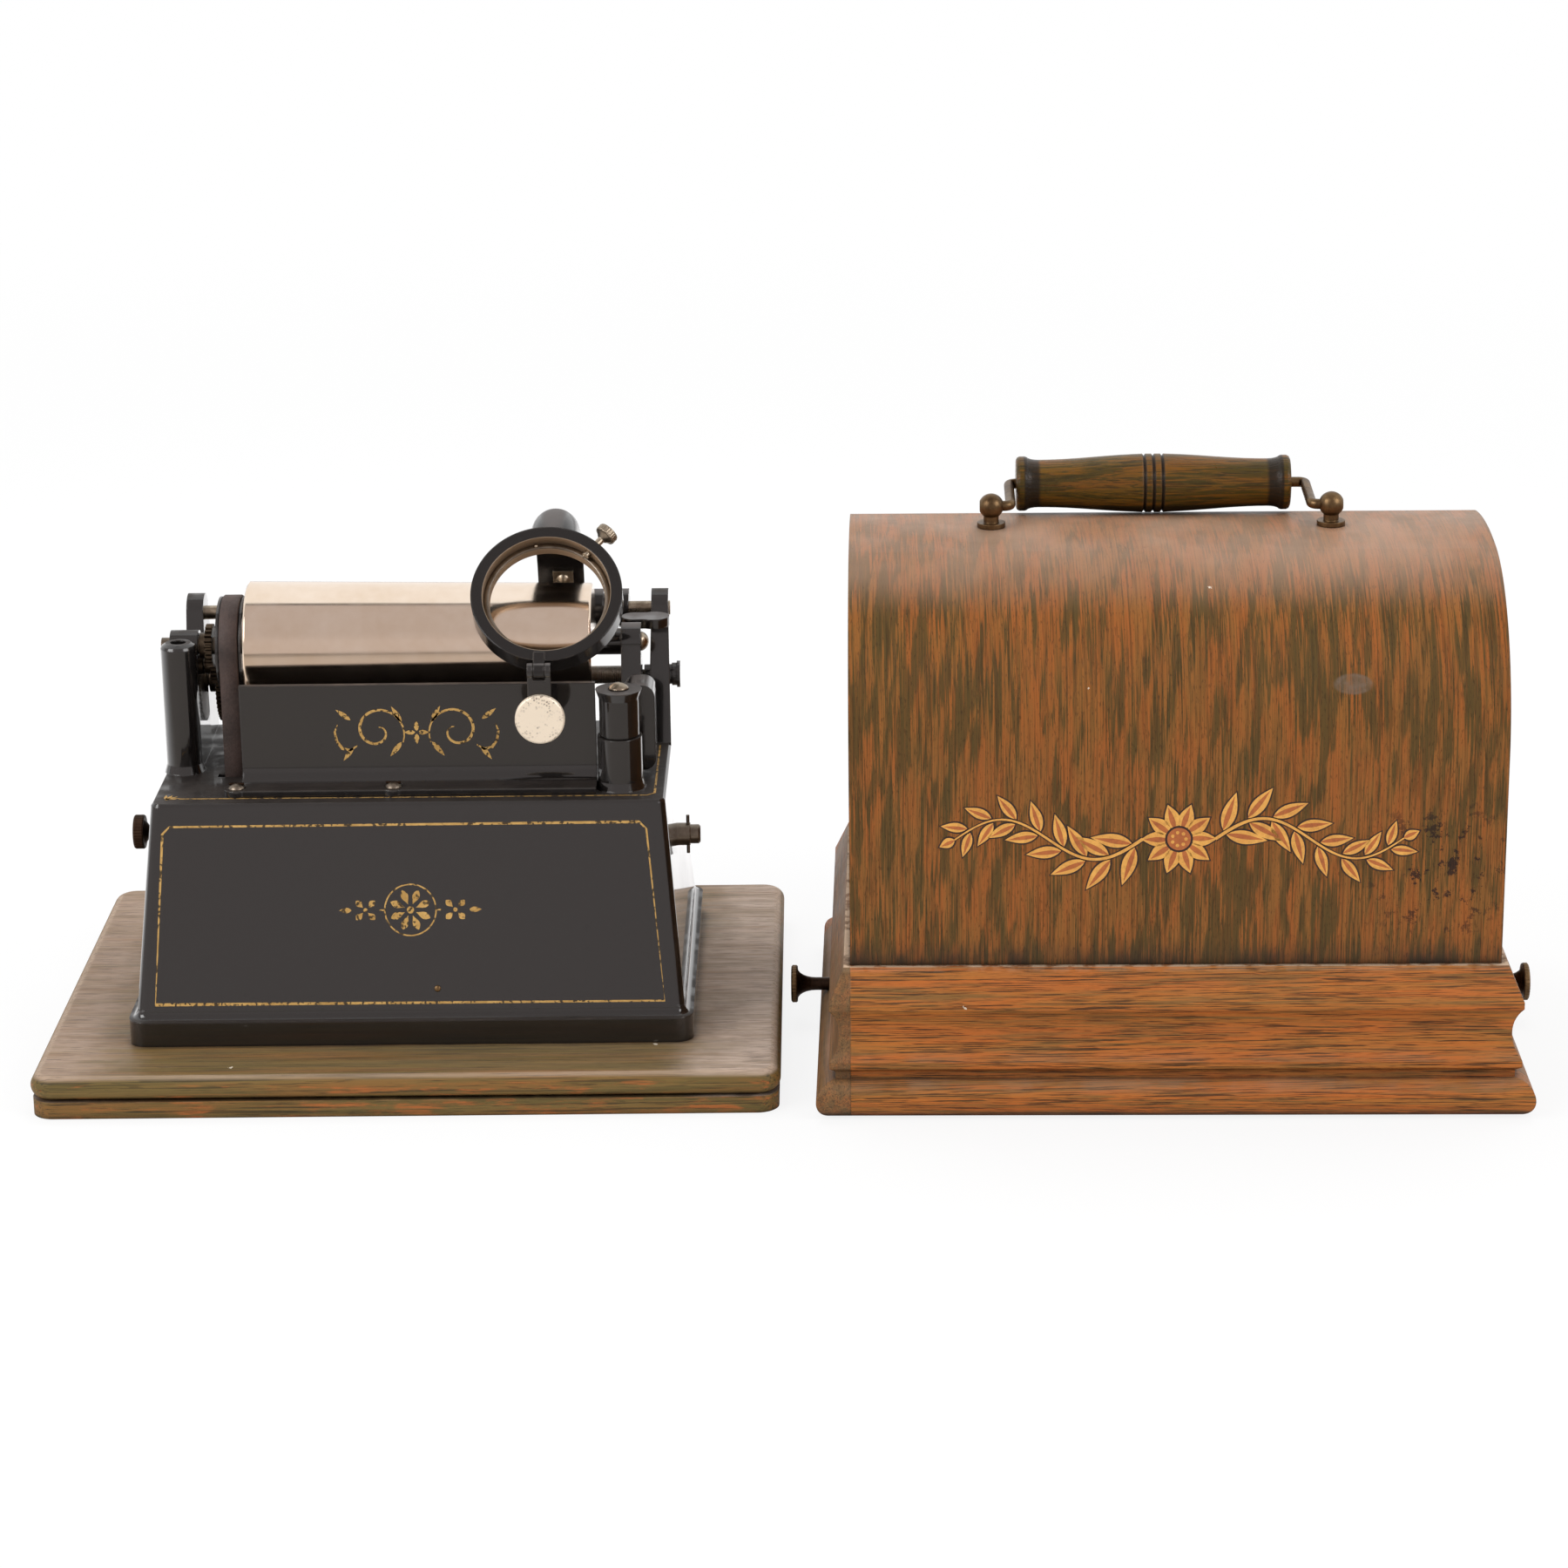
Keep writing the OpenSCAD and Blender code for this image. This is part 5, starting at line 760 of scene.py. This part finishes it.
def make_edge_ornament():
    """Pair of thin gold scrolls on the straight edge, with leaves and a small cross between them."""
    shape = bmesh.new()
    middle = Vector((2.6, 115.0))
    scroll = spiral((13.5, 0.5), 9.6, 1.5, 205, -250, 40)
    tail = [(20.6, -4.6), (23.0, -6.2), (25.8, -5.6), (27.6, -3.0), (28.2, 0.4), (27.2, 3.0)]
    leaves = (((22.0, -5.2), (25.6, -10.0), 1.7), ((5.0, 3.6), (8.4, 9.4), 1.8),
              ((5.2, -3.4), (9.4, -8.6), 1.8), ((22.6, 4.6), (27.6, 8.4), 1.7))
    cross_from, cross_to, cross_width = 0.5, 4.2, 1.7

    def taper(share):
        return 0.25 + 0.75 * math.sin(math.pi * min(1, share * 0.9 + 0.08))

    for side in (-1, 1):
        def swing(points):
            return [(middle.x + side * a, middle.y + b) for a, b in points]
        add_stroke(shape, swing(scroll), taper, edge_face, GOLD_LAYER)
        add_stroke(shape, swing(tail), taper, edge_face, GOLD_LAYER)
        for base, tip, width in leaves:
            add_patch(shape, leaf(*swing([base, tip]), width), edge_face, GOLD_LAYER)
    for way in ((0, 1), (0, -1), (1, 0), (-1, 0)):
        way = Vector(way)
        arm = leaf(middle + way * cross_from, middle + way * cross_to, cross_width)
        add_patch(shape, arm, edge_face, GOLD_LAYER)
    piece("edge_ornament", shape, GOLD, "machine")


# Spray on the lid in millimetres
SPRAY_MIDDLE = Vector((0.6, 95.5))
STEM_FROM, STEM_LENGTH, STEM_WAVE = 12, 62, 7.0
STEM_STEPS = 40
LEAF_PAIRS = 8
FIRST_PAIR, PAIR_STEP = 0.06, 0.125
END_LEAF_AT, END_LEAF_RISE, END_LEAF_WIDTH = 79.0, 2.5, 3.4
PETALS, SEEDS = 10, 7


def make_lid_ornament():
    """Painted spray of leaves to both sides of a flower on the front of the lid."""
    lines, golds, ambers = bmesh.new(), bmesh.new(), bmesh.new()
    middle = SPRAY_MIDDLE

    def add_leaf(base, tip, width):
        base, tip = Vector(base), Vector(tip)
        along = tip - base
        grow = along.normalized() * 0.7
        side = Vector((-along.y, along.x)).normalized() * width * 0.24
        vein = leaf(base + side * 0.2, tip - along * 0.1 + side * 0.1, width * 0.36, 10)
        add_patch(lines, leaf(base - grow, tip + grow, width + 1.1, 10), lid_face, OUTLINE_LAYER)
        add_patch(golds, leaf(base, tip, width, 10), lid_face, LEAF_LAYER)
        add_patch(ambers, vein, lid_face, VEIN_LAYER)

    for side in (-1, 1):
        stem = []
        for i in range(STEM_STEPS + 1):
            share = i / STEM_STEPS
            wave = STEM_WAVE * math.sin(share * 2.0 * math.pi)
            stem.append((middle.x + side * (STEM_FROM + STEM_LENGTH * share), middle.y + wave * side))
        add_stroke(lines, stem, lambda share: 2.0 - 1.0 * share, lid_face, OUTLINE_LAYER)
        add_stroke(golds, stem, lambda share: 1.1 - 0.6 * share, lid_face, STEM_LAYER)
        for k in range(LEAF_PAIRS):
            share = FIRST_PAIR + PAIR_STEP * k
            step = round(share * STEM_STEPS)
            here = Vector(stem[step])
            ahead = (Vector(stem[min(STEM_STEPS, step + 2)]) - here).normalized()
            normal = Vector((-ahead.y, ahead.x))
            reach = 13.0 - 5.0 * share
            for hand in (-1, 1):
                tip = here + ahead * reach * 0.82 + normal * hand * reach * 0.78
                add_leaf(here + normal * hand * 0.9, tip, 4.8 - 1.6 * share)
        end = (middle.x + side * END_LEAF_AT, stem[-1][1] + side * END_LEAF_RISE)
        add_leaf(stem[-1], end, END_LEAF_WIDTH)
    for i in range(PETALS):
        angle = 2 * math.pi * i / PETALS
        way = Vector((math.cos(angle), math.sin(angle)))
        add_leaf(middle + way * 3.4, middle + way * 12.5, 5.0)
    add_patch(lines, disc(middle, 4.6), lid_face, EYE_RIM_LAYER)
    add_patch(ambers, disc(middle, 3.9), lid_face, EYE_LAYER)
    for seed in disc(middle, 2.3, SEEDS):
        add_patch(golds, disc(seed, 0.6, 10), lid_face, SEED_LAYER)
    piece("lid_ornament_outline", lines, LEAF_LINE, "lid")
    piece("lid_ornament_gold", golds, LEAF_GOLD, "lid")
    piece("lid_ornament_amber", ambers, LEAF_AMBER, "lid")


# Belt in millimetres: its middle plane, the two axes it runs about, and its section
BELT_X, BELT_Y = -63.3, 2.0
BELT_TOP, BELT_LOW = 137.3, 45.0
BELT_INNER_RADIUS = 16.52
BELT_THICK, BELT_HALF_WIDTH = 1.26, 3.25
EDGE_IN, EDGE_DOWN = 0.4, 0.35
TURN_STEPS, RUN_STEPS = 40, 36
LAP_FROM, LAP_TO, LAP_THICKNESS = 103.0, 119.0, 1.8


def make_belt():
    """Leather belt with rounded edges and a lapped joint, in the place of its plain loop."""
    shape = bmesh.new()
    wide, narrow = BELT_HALF_WIDTH, BELT_HALF_WIDTH - EDGE_IN
    low, high = EDGE_DOWN, BELT_THICK - EDGE_DOWN
    section = [(-wide, low), (-wide, high), (-narrow, BELT_THICK), (narrow, BELT_THICK),
               (wide, high), (wide, low), (narrow, 0.0), (-narrow, 0.0)]

    def half_turn(start, height):
        angles = [start + math.pi * i / TURN_STEPS for i in range(TURN_STEPS + 1)]
        return [(Vector((math.cos(angle), math.sin(angle))), height) for angle in angles]

    def run(way, start, end):
        return [(Vector((way, 0)), start + (end - start) * i / RUN_STEPS) for i in range(1, RUN_STEPS)]

    path = half_turn(0.0, BELT_TOP) + run(-1, BELT_TOP, BELT_LOW)
    path += half_turn(math.pi, BELT_LOW) + run(1, BELT_LOW, BELT_TOP)
    rings = []
    for out, z in path:
        lap = LAP_THICKNESS if out.x == 1 and LAP_FROM < z < LAP_TO else 1.0
        ring = []
        for across, height in section:
            radius = BELT_INNER_RADIUS + height * lap
            point = Vector((BELT_X + across, BELT_Y + out.x * radius, z + out.y * radius))
            ring.append(shape.verts.new(point * MM))
        rings.append(ring)
    for first, second in zip(rings, rings[1:] + rings[:1]):
        join_rings(shape, first, second)
    belt = piece("leather_belt", shape, LEATHER, "machine", True)
    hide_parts("drive_belt")


def turned_rings(shape, frame_at, outline, steps, ridge=0.0):
    """Rings about the frame's Z from points of radius and height; ridge ribs every other step."""
    rings = []
    for radius, height in outline:
        ring = []
        for i in range(steps):
            angle = 2 * math.pi * i / steps
            reach = radius + (ridge if i % 2 else 0.0)
            point = Vector((reach * math.cos(angle), reach * math.sin(angle), height))
            ring.append(shape.verts.new(frame_at @ (point * MM)))
        rings.append(ring)
    for first, second in zip(rings, rings[1:]):
        join_rings(shape, first, second)
    return rings


def add_turned(shape, frame_at, outline, steps, ridge=0.0):
    """Turned form with flat ends."""
    rings = turned_rings(shape, frame_at, outline, steps, ridge)
    shape.faces.new(list(reversed(rings[0])))
    shape.faces.new(rings[-1])


def add_band(shape, frame_at, loop, steps):
    """Ring whose section is a closed loop."""
    rings = turned_rings(shape, frame_at, loop, steps)
    join_rings(shape, rings[-1], rings[0])


def frame_along(point, way):
    """Frame in metres at a point in millimetres, its Z along a direction."""
    return Matrix.Translation(Vector(point) * MM) @ Vector(way).to_track_quat("Z", "Y").to_matrix().to_4x4()


def ring_point(across, up, out):
    """Point of the ring's own frame, in millimetres of the object's frame."""
    return RING_MIDDLE + Vector((across, 0, 0)) + RING_UP * up + RING_OUT * out


# Turned outlines in millimetres: radius and height
SPEED_RIM = (5.3, -0.05), (5.85, 0.35), (5.85, 3.25), (5.3, 3.65)
CLAMP_RIM = (3.3, -0.04), (3.68, 0.3), (3.68, 2.3), (3.3, 2.66)
LID_SCREW_RIM = (5.9, -0.04), (6.45, 0.4), (6.45, 1.8), (5.9, 2.2)
PIN_OUTLINE = (0.75, 0.0), (0.75, 0.7), (0.45, 1.1), (0.15, 1.2)
SEAT_RING_LOOP = (19.95, 0.0), (21.8, 0.0), (21.8, 0.35), (20.15, 0.35), (19.95, 0.2)
PANEL_SCREW_OUTLINE = (1.15, 0.0), (1.15, 0.2), (0.9, 0.45), (0.3, 0.55)

# Places of the screws and pins in millimetres, each in the frame of the piece that holds it
SPEED_HEAD = -101.95, 0, 69.6
CLAMP_TILT = math.radians(50)
CLAMP_REACH, CLAMP_OUT = 30.2, -2.2
LID_SCREW_ACROSS, LID_SCREW_BACK, LID_SCREW_UP = 130.3, 8.0, 14.0
PLATE_SCREWS_X, PLATE_SCREWS_Y, PLATE_SCREWS_Z = (-59.5, -5.5), -37.4, 97.4
SLOT_HALF_LENGTH, SLOT_WIDTH, SLOT_LAYER = 2.6, 0.6, (1.2, 1.93)
RING_PINS = (-4.2, 20.6), (12.4, 16.6)
PANEL_SCREW_AT = 9.5, 6.9


def make_knurls():
    """Ribbed rims on the speed screw, the clamp screw and the two lid screws."""
    shape = bmesh.new()
    add_turned(shape, frame_along(SPEED_HEAD, (1, 0, 0)), SPEED_RIM, 72, 0.22)
    piece("speed_knurl", shape, DARK_BRONZE, "speed")
    shape = bmesh.new()
    way = Vector((math.cos(CLAMP_TILT), 0, 0)) + RING_UP * math.sin(CLAMP_TILT)
    start = RING_MIDDLE + RING_OUT * CLAMP_OUT + way * CLAMP_REACH
    add_turned(shape, frame_along(start, way), CLAMP_RIM, 56, 0.16)
    piece("clamp_knurl", shape, SMALL_NICKEL, "clamp")
    for body, side in (("left_screw", -1), ("right_screw", 1)):
        shape = bmesh.new()
        head = lid_point(side * LID_SCREW_ACROSS, LID_SCREW_BACK, LID_SCREW_UP)
        add_turned(shape, frame_along(head, LID_ACROSS * -side), LID_SCREW_RIM, 64, 0.2)
        piece(body + "_knurl", shape, BRONZE, body)


def slot_face(across, up, out):
    """Point over the straight edge's foot, where up leads to the back."""
    return Vector((across, up, PLATE_SCREWS_Z + out)) * MM


def make_small_fasteners():
    """Screw slots, the two pins and the seat ring of the sound box, and the small head on the front panel."""
    shape = bmesh.new()
    for x in PLATE_SCREWS_X:
        slot = [(x - SLOT_HALF_LENGTH, PLATE_SCREWS_Y), (x + SLOT_HALF_LENGTH, PLATE_SCREWS_Y)]
        add_stroke(shape, slot, SLOT_WIDTH, slot_face, SLOT_LAYER)
    piece("plate_screw_slots", shape, DARK_BRONZE, "machine")
    shape = bmesh.new()
    for across, up in RING_PINS:
        add_turned(shape, frame_along(ring_point(across, up, -SEAT_DEPTH), RING_OUT), PIN_OUTLINE, 16)
    piece("ring_pins", shape, SMALL_NICKEL, "carriage_assembly", True)
    shape = bmesh.new()
    add_band(shape, frame_along(RING_MIDDLE - RING_OUT * SEAT_DEPTH, RING_OUT), SEAT_RING_LOOP, 72)
    piece("seat_ring", shape, STEEL, "carriage_assembly", True)
    shape = bmesh.new()
    spot = front_panel(*PANEL_SCREW_AT, 0.0) / MM
    add_turned(shape, frame_along(spot, PANEL_OUT), PANEL_SCREW_OUTLINE, 20)
    piece("panel_screw", shape, BRONZE, "machine", True)


make_lining()
make_panel_ornament()
make_edge_ornament()
make_lid_ornament()
make_belt()
make_knurls()
make_small_fasteners()


# Studio

WHITE = 1.0, 1.0, 1.0, 1.0
FLOOR_SIZE, FLOOR_DROP = 14.0, -0.0002
FLOOR_TONE = 0.86, 0.86, 0.86, 1.0
FLOOR_MIRRORED_FRONT = 0.42, 0.378, 0.348, 1.0
FLOOR_MIRRORED_BACK = 0.98, 0.97, 0.97, 1.0
FLOOR_FRONT_TO_BACK = -0.30, 0.10
GLOW_DISTANCES, GLOW_SHARES = (0.5, 1.6), (0.85, 1.0)


def make_floor():
    """Pale floor: white to the camera, with soft shadows, and darker and warmer in front to reflections."""
    material = bpy.data.materials.new("pale_floor")
    web = web_of(material)
    rays = web.add("ShaderNodeLightPath").outputs
    to_back = web.span(web.axes()["Y"], *FLOOR_FRONT_TO_BACK)
    mirrored = web.blend(to_back, FLOOR_MIRRORED_FRONT, FLOOR_MIRRORED_BACK)
    tone = web.blend(rays["Is Glossy Ray"], FLOOR_TONE, mirrored)
    paint = web.add("ShaderNodeBsdfDiffuse", {"Color": tone})
    glow = web.add("ShaderNodeEmission", {"Color": WHITE, "Strength": 1.0})
    seen = web.math("MAXIMUM", rays["Is Camera Ray"], rays["Is Transmission Ray"])
    away = web.vector("LENGTH", web.place(), output="Value")
    share = web.times(seen, web.span(away, *GLOW_DISTANCES, *GLOW_SHARES))
    both = web.add("ShaderNodeMixShader", {"Fac": share, 1: paint.outputs[0], 2: glow.outputs[0]})
    web.add("ShaderNodeOutputMaterial", {"Surface": both.outputs[0]})
    shape = bmesh.new()
    bmesh.ops.create_grid(shape, x_segments=1, y_segments=1, size=FLOOR_SIZE)
    floor = mesh_object("floor", shape, material)
    floor.location.z = FLOOR_DROP


# Room as reflections see it: Y and Z are parts of the direction, and the seam is the dark line overhead
FRONT_FROM_TO = 0.11, 0.02
FRONT_RISE, FRONT_LEVELS = (0.30, 0.62), (0.60, 0.53)
SEAM_AT, SEAM_WIDTHS, SEAM_DEPTH = 0.075, (0.05, 0.02), 0.8
FRONT_TINT = 1.0, 0.905, 0.88, 1.0
PLAIN_LIGHT = 0.55


def make_world():
    """White room: reflections see it white behind the object, and dimmer and warmer in front of it."""
    world = bpy.data.worlds.new("studio")
    bpy.context.scene.world = world
    web = web_of(world)
    rays = web.add("ShaderNodeLightPath").outputs
    mirrored = rays["Is Glossy Ray"]
    way = web.parts(web.add("ShaderNodeTexCoord").outputs["Generated"])
    in_front = web.span(way["Y"], *FRONT_FROM_TO)
    front_level = web.span(way["Z"], *FRONT_RISE, *FRONT_LEVELS)
    room = web.math("ADD", web.times(in_front, front_level), web.math("SUBTRACT", 1.0, in_front))
    from_seam = web.math("ABSOLUTE", web.math("SUBTRACT", way["Y"], SEAM_AT))
    seam = web.times(web.span(from_seam, *SEAM_WIDTHS), SEAM_DEPTH)
    room = web.times(room, web.math("SUBTRACT", 1.0, seam))
    seen = web.math("MAXIMUM", rays["Is Camera Ray"], rays["Is Transmission Ray"])
    plain = web.math("SUBTRACT", 1.0, web.math("MAXIMUM", seen, mirrored))
    strength = web.math("ADD", seen, web.times(mirrored, room))
    strength = web.math("ADD", strength, web.times(plain, PLAIN_LIGHT))
    tone = web.blend(web.times(in_front, mirrored), WHITE, FRONT_TINT)
    sky = web.add("ShaderNodeBackground", {"Color": tone, "Strength": strength})
    web.add("ShaderNodeOutputWorld", {"Surface": sky.outputs[0]})


def make_lamp(name, place, target, size, power, mirrored=True):
    """Soft lamp at a place that looks at a target; mirrored lets reflections see it."""
    lamp = bpy.data.lights.new(name, "AREA")
    lamp.shape = "RECTANGLE"
    lamp.size, lamp.size_y = size
    lamp.energy = power
    holder = bpy.data.objects.new(name, lamp)
    bpy.context.collection.objects.link(holder)
    holder.visible_glossy = mirrored
    way = Vector(target) - Vector(place)
    holder.matrix_world = Matrix.Translation(place) @ way.to_track_quat("-Z", "Y").to_matrix().to_4x4()


CAMERA_AT = 0.143587, -1.413889, 0.537810
CAMERA_YAW, CAMERA_PITCH, CAMERA_ROLL = -0.01073, 0.31, -0.01357
LENS_MM, SENSOR_MM, FAR_END = 96.55, 36.0, 60.0


def make_camera():
    """Camera at the photograph's place."""
    flat = math.cos(CAMERA_PITCH)
    forward = Vector((math.sin(CAMERA_YAW) * flat, math.cos(CAMERA_YAW) * flat, -math.sin(CAMERA_PITCH)))
    right = Vector((math.cos(CAMERA_YAW), -math.sin(CAMERA_YAW), 0.0))
    up = right.cross(forward)
    rolled_right = math.cos(CAMERA_ROLL) * right + math.sin(CAMERA_ROLL) * up
    rolled_up = -math.sin(CAMERA_ROLL) * right + math.cos(CAMERA_ROLL) * up
    lens = bpy.data.cameras.new("camera")
    lens.lens = LENS_MM
    lens.sensor_width = SENSOR_MM
    lens.sensor_fit = "HORIZONTAL"
    lens.clip_end = FAR_END
    holder = bpy.data.objects.new("camera", lens)
    turn = Matrix((rolled_right, rolled_up, -forward)).transposed().to_4x4()
    holder.matrix_world = Matrix.Translation(CAMERA_AT) @ turn
    bpy.context.collection.objects.link(holder)
    bpy.context.scene.camera = holder


make_floor()
make_world()
make_lamp("left_softbox", (-1.3, -1.0, 1.25), (0.1, 0.0, 0.08), (1.1, 1.1), 18.0)
make_lamp("right_softbox", (1.6, -0.9, 1.15), (0.15, 0.0, 0.08), (1.1, 1.1), 14.0)
make_lamp("top_softbox", (0.13, 0.55, 1.5), (0.13, 0.05, 0.1), (1.8, 0.9), 14.0, False)
make_camera()
bpy.context.scene.view_settings.view_transform = "Standard"
